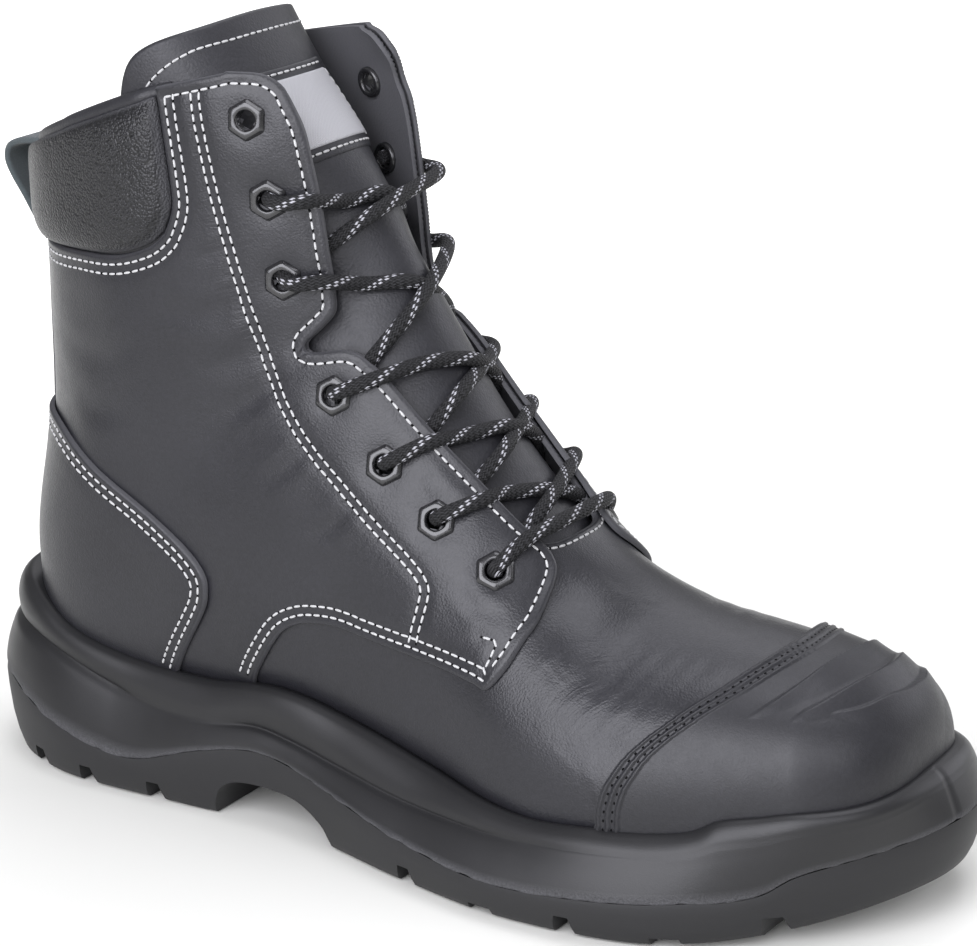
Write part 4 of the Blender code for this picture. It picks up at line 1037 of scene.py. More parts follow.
# %% Backstay
BACKSTAY_HALF, BACKSTAY_SPAN = 9.0, (107.0, 161.0)
BACKSTAY_SINK = 0.2  # it lies this much deeper than the counter
BACKSTAY_ROW = .009  # share from its edge to its row of stitches
stay_share = BACKSTAY_HALF / CHART[1]
stay = [back_station(z) for z in BACKSTAY_SPAN]
stay_edge = outline(*[chart_line(station, np.array(ends) * stay_share)
                      for station, ends in zip(stay, ((-1, 1), (1, -1)))])
backstay = keep(panel("leather_backstay", stay_edge, LEVEL_2 - BACKSTAY_SINK, OVERLAY), smooth_leather,
                "counter_leather", "backstay")
sewn[backstay] = [chart_line(np.linspace(*stay, 60), side * (stay_share - BACKSTAY_ROW))
                  for side in (MEDIAL, LATERAL)]

# %% [markdown]
# ## Collar pad
# The cuff round the ankle is foam under finely pebbled leather. It is thin along its stitched edge,
# fullest a finger's width further in and rolled over at the top. A cloth simulation could blow it up,
# but the real pad is one plain cushion all round, so its thickness is a formula of how far a point
# lies from the seams and from the top.

# %% Collar pad
PAD_EDGE, PAD_BULGE, PAD_ROLL, PAD_TOP_SHARE = 1.2, 4.6, 11.0, 0.4
PAD_FOOT, PAD_CLEAR = 161.5, 0.9  # its lowest height at the back, and its gap to the quarters


def collar_height(x):
    """Height of the collar at a distance from the heel."""
    top = LAST[COLLAR]
    return top.bz + (top.tz - top.bz) / (top.tx - top.bx) * (x - top.bx)


def pad_swell(points):
    """Thickness of the pad."""
    x, z = points[:, 0], points[:, 2]
    low = round_over((z - np.interp(x, *zip(*PAD_LOWER))) / PAD_ROLL)
    front = round_over((np.interp(z, *list(zip(*PAD_FRONT))[::-1]) - x) / PAD_ROLL)
    roll = round_over((collar_height(x) - z) / PAD_ROLL)
    return PAD_EDGE + PAD_BULGE * low * front * (PAD_TOP_SHARE + (1 - PAD_TOP_SHARE) * roll)


pad_line = {side: np.concatenate([drawn(PAD_LOWER, side)[3:], drawn(PAD_FRONT, side)[1:]])
            for side in (LATERAL, MEDIAL)}
pad_edge = outline(np.array([(back_station(PAD_FOOT), 0)]), pad_line[LATERAL],
                   collar_line(pad_line[LATERAL][-1, 1], pad_line[MEDIAL][-1, 1]), pad_line[MEDIAL][::-1])
pad_edge = inset(pad_edge, PAD_CLEAR)
pad_relief = [waves(31, 18, 22, 0.7, everywhere)]
collar_pad = panel("padded_collar", pad_edge, LEVEL_1, PAD_EDGE, swell=pad_swell, relief=pad_relief, rim=2.2)
keep(collar_pad, pebbled_leather, "pad_leather", "collar_pad")

# %% [markdown]
# ## Lining
# Inside the collar a padded lining fills the shaft as deep as one can see. It could be the inner face
# of the pad, but the wall of the upper runs between the two. So it is a panel of its own that swells
# inwards, by a thickness below zero.

# %% Lining
LINING_DEPTH = 10.2  # station at which the lining ends, inside the shaft
LINING_SHARE = 0.262  # it reaches this far round to each side
LINING_EDGE, LINING_BULGE, LINING_ROLL = 1.2, 3.2, 16
LINING_CLEAR = 0.05


def lining_swell(points):
    """Thickness of the lining, inwards."""
    below = collar_height(points[:, 0]) - points[:, 2]
    return -(LINING_EDGE + LINING_BULGE * round_over(below / LINING_ROLL))


lining_side = np.linspace(COLLAR, LINING_DEPTH, 60)
lining_edge = outline(collar_line(LINING_SHARE, -LINING_SHARE), chart_line(lining_side, -LINING_SHARE),
                      chart_line(LINING_DEPTH, np.linspace(-LINING_SHARE, LINING_SHARE, 60)),
                      chart_line(lining_side[::-1], LINING_SHARE), spacing=1.6)
lining = panel("padded_lining", lining_edge, -WALL - LINING_CLEAR, -LINING_EDGE, swell=lining_swell,
               spacing=2.2)
keep(lining, soft_leather, "pad_leather")

# %% [markdown]
# ## Collar roll
# A narrow roll of soft leather finishes the top edge of the collar, and its ends dive in behind the
# facings. A bevelled curve object would draw it, but the same tube is needed for the lace, where each
# point has to know how far along and round the lace it lies. So a mesh tube is built ring by ring.

# %% Tube and collar roll
TUBE_SIDES, TUBE_SHARP = 20, 80
LOOK = (0.3, 0.2, 0.9)  # a direction that no path starts in
ROLL_RADIUS, ROLL_OUT = 2.3, 0.2  # its middle lies this far outside the wall
ROLL_END = .012  # share by which it runs on past the pad
ROLL_DIVE, ROLL_DIVE_RUN = 4.5, 9  # how deep its ends dive, over how many points


def ring_faces(a, b, count):
    """Quads between two rings of points that start at a and at b."""
    return [(a + j, a + (j + 1) % count, b + (j + 1) % count, b + j) for j in range(count)]


def tube(name, path, radius, sides=TUBE_SIDES):
    """A closed tube along a path, with a frame that does not twist."""
    ahead = unit(np.gradient(path, axis=0))
    normal = unit(np.cross(ahead[0], LOOK))
    turn = np.arange(sides) * 2 * np.pi / sides
    points = []
    for point, forward in zip(path, ahead):
        normal = unit(normal - forward * (normal @ forward))
        other = np.cross(forward, normal)
        round_about = np.cos(turn)[:, None] * normal + np.sin(turn)[:, None] * other
        points.append(point + radius * round_about)
    n = len(points) * sides
    faces = []
    for a in range(0, n - sides, sides):
        faces += ring_faces(a, a + sides, sides)
    faces += [(n, (j + 1) % sides, j) for j in range(sides)]
    faces += [(n + 1, n - sides + j, n - sides + (j + 1) % sides) for j in range(sides)]
    return add_mesh(name, np.concatenate([*points, path[:1], path[-1:]]), faces, TUBE_SHARP)


roll_places = places_even(collar_line(PAD_SHARE + ROLL_END, -PAD_SHARE - ROLL_END), 1.0)
from_end = np.minimum(np.arange(len(roll_places)), np.arange(len(roll_places))[::-1])
roll_way = skin.at(roll_places, ROLL_OUT - ROLL_DIVE * np.clip(1 - from_end / ROLL_DIVE_RUN, 0, 1) ** 1.5)
keep(tube("collar_roll", roll_way, ROLL_RADIUS), soft_leather, "pad_leather")

# %% [markdown]
# ## Scuff cap
# A moulded cap protects the toe. Its rear edge is a band of three thin beads with stitch holes
# between them, and three blades stand up steeply at the back and slope down towards the toe. It could
# be sculpted, but beads and blades are sharp and regular. So the cap is a fan of lines from its rear
# edge to the tip of the nose, and its profile is a height along a line.

# %% A fan of lines
CAP_THICK, CAP_BEAD = 2.0, 0.75
BEAD_PLACES, BEAD_HALF = (1.0, 3.6, 6.2), 0.8  # from the rear edge
BAND, BAND_STEP = 7.6, 0.3  # width of the beaded band, and its points
CAP_SHARES, CAP_COLUMNS, CAP_LINE = (0.10, 0.90), 420, 150
TIP, TIP_END, CAP_FROM = -0.9979, -0.9, 3.2  # stations: the tip, the end of its close lines, and the rear


def cap_fan():
    """Lines of places from the cap's rear edge to the nose, evenly spaced along each."""
    rear = curve(CAP_REAR, 10)
    stations = np.concatenate([np.linspace(TIP, TIP_END, 30)[:-1], np.linspace(TIP_END, CAP_FROM, 420)])
    lines = []
    for share in np.linspace(*CAP_SHARES, CAP_COLUMNS):
        line = chart_line(stations, share)
        points = skin.at(line)
        ahead = points[:, 0] - np.interp(points[:, 1], rear[:, 1], rear[:, 0])
        last = int(np.argmax(ahead < 0)) if (ahead < 0).any() else len(stations) - 1
        line, points = line[:last + 1][::-1], points[:last + 1][::-1]
        lines.append((line, lengths(points)))
    fine, rest = np.arange(0, BAND, BAND_STEP), np.linspace(0, 1, CAP_LINE)
    fan = []
    for line, run in lines:
        stops = np.concatenate([fine, BAND + rest * (run[-1] - BAND)])
        fan.append(chart_line(np.interp(stops, run, line[:, 0]), line[0, 1]))
    return np.array(fan), np.concatenate([fine, np.full(len(rest), BAND)])


cap_places, cap_steps = cap_fan()
print("lines on the cap", len(cap_places), "points on each", len(cap_steps))

# %% Thickness of the cap
RIBS = (  # crests of the blades, x and y in plan
    ((263.3, -29), (268.5, -21.5), (272, -12.2), (273.8, 3), (274.4, 16), (272, 27), (267, 36)),
    ((273.5, -25.5), (279, -16.5), (282.4, -6), (284, 5), (283.6, 14.4), (280.5, 25), (276, 33)),
    ((280.8, -19.5), (286.8, -11.5), (289.9, -.3), (291, 8), (290.2, 17), (287, 25), (283.5, 30)),
)
RIB_HEIGHT, RIB_BACK, RIB_FRONT = 1.9, 1.3, 8.0
CAP_EDGE, CAP_ROUND = 0.4, 1.0  # share of the thickness at the edge, and where it is full
BAND_SINK, BAND_RIM = 0.25, 0.6  # the band lies a little deeper, up to this far from its front
RIB_FLOOR, RIB_SHORT = 0.99, 0.15  # share of the thickness a blade rises from, and its least length


def cap_height(points, steps):
    """The cap's thickness: a rounded rear edge, three beads and the blades."""
    edge = CAP_THICK * (CAP_EDGE + (1 - CAP_EDGE) * round_over(steps / CAP_ROUND))
    beads = CAP_BEAD * sum(np.clip(1 - ((steps - place) / BEAD_HALF) ** 2, 0, 1) ** 0.5
                           for place in BEAD_PLACES)
    height = np.broadcast_to(edge + beads - BAND_SINK * (steps < BAND - BAND_RIM), points.shape[:2]).copy()
    x, y, z = points[..., 0], points[..., 1], points[..., 2]
    for rib in RIBS:
        crest = curve(rib, 10)
        behind = np.interp(y, crest[:, 1], crest[:, 0]) - x
        part = np.clip((y - crest[0, 1]) / np.ptp(crest[:, 1]), 0, 1)
        taper = np.sin(np.pi * part) ** 0.7 * (z > NOSE_TIP[2])
        slope = RIB_FRONT * (RIB_SHORT + (1 - RIB_SHORT) * taper)
        shape = np.where(behind >= 0, np.clip(1 - behind / RIB_BACK, 0, 1) ** 1.3,
                         np.clip(1 + behind / slope, 0, 1) ** 1.2)
        height = np.maximum(height, CAP_THICK * RIB_FLOOR + RIB_HEIGHT * shape * taper)
    return height


cap_base = skin.at(cap_places, LEVEL_1)
cap_thick = cap_height(cap_base, cap_steps)
print("thickness of the cap from", cap_thick.min().round(2), "to", cap_thick.max().round(2))

# %% Grids to meshes
def sheet(name, top, bottom):
    """A closed sheet between two grids of points."""
    rows, columns = top.shape[:2]
    index = np.arange(rows * columns).reshape(rows, columns)
    count = rows * columns
    faces = []
    for i in range(rows - 1):
        for j in range(columns - 1):
            a, b, c, d = index[i, j], index[i + 1, j], index[i + 1, j + 1], index[i, j + 1]
            faces.append((a, b, c, d))
            faces.append((count + d, count + c, count + b, count + a))
    rim = [*index[0, ::-1], *index[1:, 0], *index[-1, 1:], *index[-2:0:-1, -1]]
    for a, b in zip(rim, rim[1:] + rim[:1]):
        faces.append((b, a, count + a, count + b))
    return add_mesh(name, np.concatenate([top.reshape(-1, 3), bottom.reshape(-1, 3)]), faces)


def face_out(piece):
    """Turn a closed piece's faces outwards."""
    mesh = bmesh.new()
    mesh.from_mesh(piece.data)
    bmesh.ops.recalc_face_normals(mesh, faces=mesh.faces)
    mesh.to_mesh(piece.data)
    mesh.free()
    return piece


MOULDED = 60  # degrees past which an edge of a moulded piece is sharp


def shell(name, grid, rim):
    """An open sheet from a grid of points, with a wall from its first line down to a rim."""
    grid = np.concatenate([rim[:, None], grid], 1)
    rows, columns = grid.shape[:2]
    faces = [(i * columns + j, i * columns + j + 1, (i + 1) * columns + j + 1, (i + 1) * columns + j)
             for i in range(rows - 1) for j in range(columns - 1)]
    return add_mesh(name, grid.reshape(-1, 3), faces, MOULDED)


print("quads on the cap", (cap_places.shape[0] - 1) * cap_places.shape[1])

# %% Scuff cap
CAP_SINK = 0.2  # its edge reaches this far into the upper
cap_top = skin.at(cap_places, LEVEL_1 + cap_thick)
cap_top[:, -1] = np.array(NOSE_TIP) + (LEVEL_1 + CAP_THICK, 0, 0)
cap_finish = leather("cap_plastic", 0.014, 0.43, 0.5, 0.05)
cap = shell("moulded_cap", cap_top, skin.at(cap_places[:, 0], -CAP_SINK))
keep(cap, cap_finish, "cap_plastic", "scuff_cap")
cap_rows = []
for place in (np.array(BEAD_PLACES[:-1]) + np.array(BEAD_PLACES[1:])) / 2:
    cap_rows.append(cap_places[:, int(np.argmin(np.abs(cap_steps - place)))])

# %% [markdown]
# ## Midsole
# The sole is moulded onto the upper. Its side has a rounded upper roll, a groove and a bulging lower
# band. A profile swept along a curve would keep one shape all round, but this one grows and fades. So
# it is a loft of closed rings: up the outside, over the lip and down against the upper.

# %% Rings round the sole
AROUND = 720  # points of a ring


def plan_ring(count):
    """The tread's plan, evenly spaced, heel first and outer side first."""
    knots = np.array(PLAN_LATERAL + PLAN_MEDIAL[1:], float)
    n = len(knots)
    dense = [catmull(*(knots[(i + k) % n] for k in (-1, 0, 1, 2)), t)
             for i in range(n) for t in np.arange(40) / 40]
    dense = np.array([*dense, knots[0]])
    run = lengths(dense)
    return at_lengths(dense, run, np.linspace(0, run[-1], count + 1)[:-1])


plan = plan_ring(AROUND)
plan_tangent = np.roll(plan, -3, 0) - np.roll(plan, 3, 0)
plan_out = unit(np.stack([plan_tangent[:, 1], -plan_tangent[:, 0]], -1))
out = np.column_stack([plan_out, np.zeros(AROUND)])


def edge_ring(outset, height):
    """A ring outside the plan by some distances, at some heights."""
    return np.column_stack([plan + plan_out * np.reshape(outset, (-1, 1)), np.broadcast_to(height, AROUND)])


print("round the sole", lengths(plan)[-1].round(), "mm")

# %% Lip of the sole
RAY_START, LIP_SMOOTH = 40, 9  # how far out the rays start, and over how many points hits are averaged


def skin_tree():
    """The last as faces that rays can hit."""
    rows, around = skin.points.shape[:2]
    index = np.arange(rows * around).reshape(rows, around)
    after = np.roll(index, -1, 1)
    faces = np.stack([index[:-1], after[:-1], after[1:], index[1:]], -1).reshape(-1, 4)
    tip = [(len(index.ravel()), index[0, (j + 1) % around], index[0, j]) for j in range(around)]
    points = [Vector(p) for p in skin.points.reshape(-1, 3)] + [Vector(NOSE_TIP)]
    return BVHTree.FromPolygons(points, [*faces.tolist(), *tip])


tree = skin_tree()


def smooth_ring(values, width):
    """A running mean round a closed ring."""
    window = np.hanning(width + 2)[1:-1]
    padded = np.concatenate([values[-width:], values, values[:width]])
    return np.convolve(padded, window / window.sum(), "same")[width:-width]


top_height = side_size("top", plan[:, 0])
hits = []
for point, normal, height in zip(plan, plan_out, top_height):
    inward = Vector((-normal[0], -normal[1], 0))
    hits.append(tuple(tree.ray_cast(Vector((*point, height)) - inward * RAY_START, inward)[0]))
hits = np.array(hits)
reach = smooth_ring(((hits[:, :2] - plan) * plan_out).sum(1), LIP_SMOOTH)
print("the upper stands inside the tread's plan by", (-reach.max()).round(1), "to", (-reach.min()).round(1))

# %% Profile of the side
PARTING_OUTSET = 3.0
BAND_LOWER = ((0, 0), (.06, .45), (.2, .8), (.45, .9), (.7, .5), (.88, -.2))
BAND_UPPER = ((.1, -.75), (.25, .0), (.48, .8), (.72, .85), (.9, .2), (1, -.9))
PLAIN_BAND = ((0, 0), (.05, .6), (.15, 1.0), (.4, 1.4), (.7, 1.4), (.85, 1.1), (.95, .3), (1, -.9))
SHOULDER = ((.5, .25), (1.2, .35), (2.0, .25))  # inwards from the wall's top, and up
FULL_GROOVE = 1.4  # depth from which the groove is a groove
FLASH, FLASH_SHARE, FLASH_SMOOTH = 0.32, 0.03, 5  # unevenness of the parting line, up to a share of the wall
TOE_LINE, TOE_SIDE, TOE_HALF, TOE_FROM = 0.6, 4.5, 0.8, 280  # depth, y, half width and least x
parting = side_size("parting", plan[:, 0])
low_ring = edge_ring(PARTING_OUTSET, parting)
high_ring = edge_ring(reach + side_size("lip", plan[:, 0]), top_height)
groove = side_size("groove", plan[:, 0])[:, None]
groove_depth = side_size("depth", plan[:, 0])[:, None]
grooved = np.clip(groove_depth / FULL_GROOVE, 0, 1)
flash = smooth_ring(np.random.default_rng(8).normal(size=AROUND), FLASH_SMOOTH)[:, None] * FLASH
toe_line = TOE_LINE * np.exp(-((plan[:, 1] - TOE_SIDE) / TOE_HALF) ** 2) * (plan[:, 0] > TOE_FROM)


def wall_knot(share, bulge):
    """A ring up the wall: the grooved profile, fading into a plain band where there is no groove."""
    plain = np.interp(share, *np.array(PLAIN_BAND).T)
    rough = np.where(share < FLASH_SHARE, flash, 0.0) - toe_line[:, None]
    return low_ring + (high_ring - low_ring) * share + out * (bulge * grooved + plain * (1 - grooved) + rough)


knots = [wall_knot(part * groove, bulge) for part, bulge in BAND_LOWER]
knots.append(wall_knot(groove, -groove_depth))
knots += [wall_knot(groove + part * (1 - groove), bulge) for part, bulge in BAND_UPPER]
wall = list(curve(np.array(knots), 4))
wall_top = BAND_UPPER[-1][1]
shoulder = [high_ring + out * (wall_top - inwards) + np.array((0, 0, rise)) for inwards, rise in SHOULDER]
inner = [edge_ring(reach - 0.6, top_height - 0.6), edge_ring(reach - 1.5, top_height - 5),
         edge_ring(reach - 7, parting + 4), edge_ring(-8, parting + 1)]
print("rings up the side", len(wall), "over the lip", len(shoulder), "inside", len(inner))

# %% [markdown]
# ## Rubber
# Moulded rubber is duller than the leather and has almost no grain: only a very fine tooth from the
# mould and grit along the flash. A painted picture would blur from near, so both are noise. The rings
# are joined into one closed loft, and each point is told how much flash it carries.

# %% Midsole
def ring_loft(name, rings, sharp=MOULDED):
    """A closed tube of rings, the last joined to the first."""
    count = len(rings[0])
    faces = []
    for i in range(len(rings)):
        faces += ring_faces(i * count, (i + 1) % len(rings) * count, count)
    return face_out(add_mesh(name, np.concatenate(rings), faces, sharp))


def rubber(name, tone, gloss):
    """Moulded rubber: satin, faintly cloudy, with a fine tooth and gritty flash along its parting line."""
    made = Finish(name, specular_ior_level=0.42)
    cloud, tooth, flash = made.noise(30, 3), made.noise(2600, 2), made.attribute("flash")
    grit = made.noise(1500, 2, 0.7) * flash
    made.set(base_color=made.mix(grit, made.mix(cloud, grey(tone * 0.85), grey(tone * 1.2)), grey(0.09)),
             roughness=gloss + (cloud - 0.5) * 0.12 + (tooth - 0.5) * 0.1 + flash * 0.2)
    made.bump(tooth + cloud * 0.6 + grit * 14.0, 0.03)
    return made.material


midsole_rubber = rubber("midsole_rubber", 0.012, 0.42)
midsole = ring_loft("moulded_midsole", [*wall, *shoulder, *inner])
ring_count = len(wall) + len(shoulder) + len(inner)
FLASH_RINGS, FLASH_WEIGHTS = (0, 3, 6, 9), (1, 1, .5, 0)  # flash fades out over the lowest rings
flash_weight = np.interp(np.arange(ring_count), FLASH_RINGS, FLASH_WEIGHTS)
tag(midsole, "flash", np.repeat(flash_weight, AROUND))
keep(midsole, midsole_rubber, "midsole_rubber", "midsole")

# %% [markdown]
# ## Outsole
# The tread is flat under heel and forefoot, with an arch between them and a spring at the toe. It could
# be modelled block by block. Here a blank is lofted from rings and the grooves are cut out of it with
# Booleans, as in a mould: one cutter to a groove keeps each of them a single row of numbers.

# %% Blank of the outsole
OUTSOLE_WALL = ((0, -1.2), (.05, 0), (.2, 1.2), (.4, 2.2), (.7, 3.0), (.9, 3.3), (1, 3))
TOE_SPRING, HEEL_BEVEL = (235, 70, 11.5), (20, 7)  # start, run and rise; length and rise
TREAD_GAP = 0.1  # below the parting line
FILL = (0.25, 0.6, 0.985)  # rings on the way to the middle line
SPINE_X, SPINE_Y = (30, 275), ((0, 150, 300), (0, -2, 4))


def floor_height(x):
    """Height of the tread over the floor."""
    start, run, rise = TOE_SPRING
    length, bevel = HEEL_BEVEL
    return rise * np.clip((x - start) / run, 0, None) ** 2 + bevel * np.clip(1 - x / length, 0, None) ** 2


def filling(ring, height, shares):
    """Rings that close a ring towards the middle line of the sole."""
    spine = np.column_stack([np.clip(ring[:, 0], *SPINE_X), np.interp(ring[:, 0], *SPINE_Y)])
    made = []
    for share in shares:
        flat = ring[:, :2] + (spine - ring[:, :2]) * share
        made.append(np.column_stack([flat, height(flat[:, 0])]))
    return made


ground = floor_height(plan[:, 0])
tread = [edge_ring(outset, ground + (parting - TREAD_GAP - ground) * part) for part, outset in OUTSOLE_WALL]
top_fill = filling(tread[-1], lambda x: side_size("core", x), FILL)
under_fill = filling(tread[0], floor_height, FILL[::-1])
outsole = ring_loft("tread_outsole", [*under_fill, *tread, *top_fill])
print("blank", len(outsole.data.polygons), "faces, toe spring", ground.max().round(1))

# %% Outsole
ARCH = ((93, -5), (94.8, 4), (97.5, 9.5), (102.5, 12.3), (111, 13), (124, 12.3), (132, 9.3), (136.5, 5),
        (139, -5))
FAR, DEEP = 90.0, -20  # past the sides of the sole and below its tread
EDGE, CENTRE = 15, (-15, 13)  # notches stop at this y, and grooves run between these
NOTCHES = (27, 48, 73, 169, 223, 276)  # narrow and deep, in the sides of the tread
NOTCH = ((-3.4, DEEP), (3.6, DEEP), (3.0, 1), (2.1, 6), (-2.1, 6), (-3.2, 1))
WAISTS = (197, 251)  # wide and shallow
WAIST = ((-6.5, DEEP), (5.5, DEEP), (3.2, 2.5), (-4.2, 2.5))
CENTRE_GROOVES = ((38, 3.5), (60, 3.5), (84, 3.5), (154, 4), (180, 4), (205, 4), (233, 4))  # x and width
CHANNELS = ((28, 112, -13, 4), (28, 112, 13, 4), (128, 273, -19, 4.5), (128, 271, 15, 4.5))  # x, x, y, width
GROOVE_DEPTH = 5
CUT_SHARP = 35


def prism(name, outline_xz, y0, y1):
    """A cutting block from an outline in side view."""
    n = len(outline_xz)
    points = [(x, y, z) for y in (y0, y1) for x, z in outline_xz]
    faces = [tuple(range(n)), tuple(range(2 * n - 1, n - 1, -1))]
    faces += [(i, n + i, n + (i + 1) % n, (i + 1) % n) for i in range(n)]
    return face_out(add_mesh(name, points, faces))


def cut(piece, cutters):
    """Take blocks out of a piece for good."""
    for cutter in cutters:
        step = piece.modifiers.new("cut", "BOOLEAN")
        step.object, step.solver, step.operation = cutter, "EXACT", "DIFFERENCE"
        bpy.context.view_layer.update()
        done = bpy.data.meshes.new_from_object(piece.evaluated_get(bpy.context.evaluated_depsgraph_get()))
        piece.modifiers.clear()
        piece.data = done
        bpy.data.objects.remove(cutter)
    piece.data.shade_smooth()
    piece.data.set_sharp_from_angle(angle=math.radians(CUT_SHARP))


cutters = [prism("arch", curve(ARCH, 6), -FAR, FAR)]
for x0, x1, y, width in CHANNELS:
    roof = [(x, floor_height(x) + GROOVE_DEPTH) for x in np.linspace(x0, x1, 24)]
    cutters.append(prism("channel", [(x0, DEEP), *roof, (x1, DEEP)], y - width / 2, y + width / 2))
for rows, profile in ((NOTCHES, NOTCH), (WAISTS, WAIST)):
    for x in rows:
        block = [(x + ahead, floor_height(np.array(x)) + up_by) for ahead, up_by in profile]
        cutters += [prism("notch", block, *span) for span in ((-FAR, -EDGE), (EDGE, FAR))]
for x, width in CENTRE_GROOVES:
    roof, half = floor_height(np.array(x)) + GROOVE_DEPTH, width / 2
    block = [(x - half, DEEP), (x + half, DEEP), (x + half, roof), (x - half, roof)]
    cutters.append(prism("groove", block, *CENTRE))
cut(outsole, cutters)
outsole_rubber = rubber("outsole_rubber", 0.013, 0.55)
keep(outsole, outsole_rubber, "outsole_rubber", "outsole")

# %% [markdown]
# ## Tongue
# The tongue is a soft strip under the lace, with a row of stitches inside its top edge. It could be a
# panel like the rest, but a strip with four sides is simply a grid. It lies on the sunken last, so
# that it clears the facings, and widens from its foot to its top.

# %% Tongue
TONGUE_FOOT, TONGUE_TOP, TONGUE_DROP, TONGUE_CORNER = 3.0, 14.9, 1.0, 0.9
TONGUE_WIDTH, TONGUE_THICK, TONGUE_CLEAR = (.10, .242), 2.6, 0.5
TONGUE_ROW = ((13.2, .296), (13.45, .306), (13.75, .331), (14, .36), (14.17, .392), (14.27, .454),
              (14.29, .5))
TONGUE_LEVEL = -WALL - TONGUE_CLEAR
TONGUE_SIZE = (60, 200)  # about half its width and its length
TONGUE_RIM, TONGUE_ROUND = 2.0, 0.9  # width and depth of its rounded edge


def tongue_places(v, u):
    """Places on the tongue: v from its foot to its top, u from its outer to its inner side."""
    top = TONGUE_TOP - TONGUE_DROP * u ** 2 - TONGUE_CORNER * u ** 16
    half = TONGUE_WIDTH[0] + (TONGUE_WIDTH[1] - TONGUE_WIDTH[0]) * v
    return np.stack([TONGUE_FOOT + (top - TONGUE_FOOT) * v, 0.5 + u * half], -1)


v, u = np.meshgrid(np.linspace(0, 1, 240), np.linspace(-1, 1, 120), indexing="ij")
places = tongue_places(v, u)
rim = np.minimum((1 - np.abs(u)) * TONGUE_SIZE[0], (1 - v) * TONGUE_SIZE[1])
thinner = TONGUE_ROUND * (1 - round_over(rim / TONGUE_RIM))
tongue_top = tongue_skin.at(places, TONGUE_LEVEL - thinner)
tongue_under = tongue_skin.at(places, TONGUE_LEVEL - TONGUE_THICK + thinner)
tongue = face_out(sheet("soft_tongue", tongue_top, tongue_under))
keep(tongue, soft_leather, "tongue_leather", "tongue")
sewn[tongue] = [curve((*TONGUE_ROW, *[(s, 1 - share) for s, share in TONGUE_ROW[-2::-1]]), 12)]

# %% [markdown] ## Label A small pale patch of plain weave is sewn on near the top of the tongue, on a
# backing of leather. Its threads could be modelled, but each is thinner than a millimetre.

# %% Label
LABEL_SPAN, LABEL_SHARE = (11.0, 12.85), .056
BACKING_SPAN, BACKING_SHARE = (10.72, 13.2), .064
PATCH_SIZE = (17, 20)  # about half its width and its height, for the weave
PATCH_EDGE, PATCH_RIM, PATCH_SINK = 0.4, 0.8, 0.4
BACKING_THICK, LABEL_LEVEL, LABEL_THICK = 0.7, 0.6, 0.6
LABEL_ROWS, LABEL_SIDES = (10.86, 13.04), (-.06, .06)  # stations and shares of the rows round it
LABEL_MIDDLE = sum(LABEL_ROWS) / 2


def patch(name, span, share, base, thick):
    """A flat patch on the tongue with rounded edges."""
    sv, su = np.meshgrid(np.linspace(0, 1, 90), np.linspace(-1, 1, 90), indexing="ij")
    places = np.stack([span[0] + (span[1] - span[0]) * sv, 0.5 + su * share], -1)
    wide, high = PATCH_SIZE
    rim = np.minimum((1 - np.abs(su)) * wide, np.minimum(sv, 1 - sv) * high)
    top = tongue_skin.at(places, base + thick * (PATCH_EDGE + (1 - PATCH_EDGE) * round_over(rim / PATCH_RIM)))
    piece = face_out(sheet(name, top, tongue_skin.at(places, base - PATCH_SINK)))
    tag(piece, "weft", np.tile((sv * high).ravel(), 2))
    tag(piece, "warp", np.tile((su * wide).ravel(), 2))
    return piece


label_backing = patch("label_backing", BACKING_SPAN, BACKING_SHARE, TONGUE_LEVEL, BACKING_THICK)
keep(label_backing, soft_leather, "tongue_leather")
label_weave = Finish("label_weave", specular_ior_level=0.2)
THREADS = 9.0  # radians to a millimetre: threads about 0.7 mm apart
weft = (label_weave.attribute("weft") * THREADS).math("SINE", 0.0)
warp = (label_weave.attribute("warp") * THREADS).math("SINE", 0.0)
weave = weft * warp * 0.5 + 0.5
# The weave is painted darker where its threads dip: painted shade that follows the bump.
label_weave.set(base_color=label_weave.mix(weave, grey(0.34, -.02), grey(0.42, -.02)), roughness=0.85)
label_weave.bump(weave, 0.12)
label = patch("woven_label", LABEL_SPAN, LABEL_SHARE, TONGUE_LEVEL + LABEL_LEVEL, LABEL_THICK)
keep(label, label_weave.material, "label_weave", "tongue_label")
across = np.linspace(-1, 1, 80)
sewn[label_backing] = [chart_line(station, 0.5 + across * LABEL_SHARE) for station in LABEL_ROWS]
sewn[label_backing] += [chart_line(LABEL_MIDDLE + across, 0.5 + share) for share in LABEL_SIDES]

# %% [markdown]
# ## Pull loop
# A folded strap of grey suede stands off the back of the collar. A flat strip with a Solidify would
# have square edges, while a real strap is thinner at its rims. So the strap is a grid along its path
# with a thickness that rounds off. The nap of suede is fine noise, with a little sheen.

# %% Pull loop
LOOP_PATH = ((15, 157), (11.5, 162), (7, 169), (2.8, 175), (.9, 179.2), (1.6, 183), (5, 185), (10, 185.8),
             (14, 186))
LOOP_WIDTH, LOOP_THICK, LOOP_EDGE = 20.0, 2.0, 0.3  # the edge is a share of the thickness
spine = even(curve(LOOP_PATH, 12), 0.6)
tangent = unit(np.gradient(spine, axis=0))
left = np.stack([-tangent[:, 1], tangent[:, 0]], -1)
across = np.linspace(-LOOP_WIDTH / 2, LOOP_WIDTH / 2, 40)
fade = round_over((LOOP_WIDTH / 2 - np.abs(across)) / 1.0)


def strap(side):
    """One face of the strap."""
    rise = side * (LOOP_EDGE + (1 - LOOP_EDGE) * fade[:, None]) * LOOP_THICK / 2
    return np.array([[(x, y, z) for y, (x, z) in zip(across, point + normal * rise)]
                     for point, normal in zip(spine, left)])


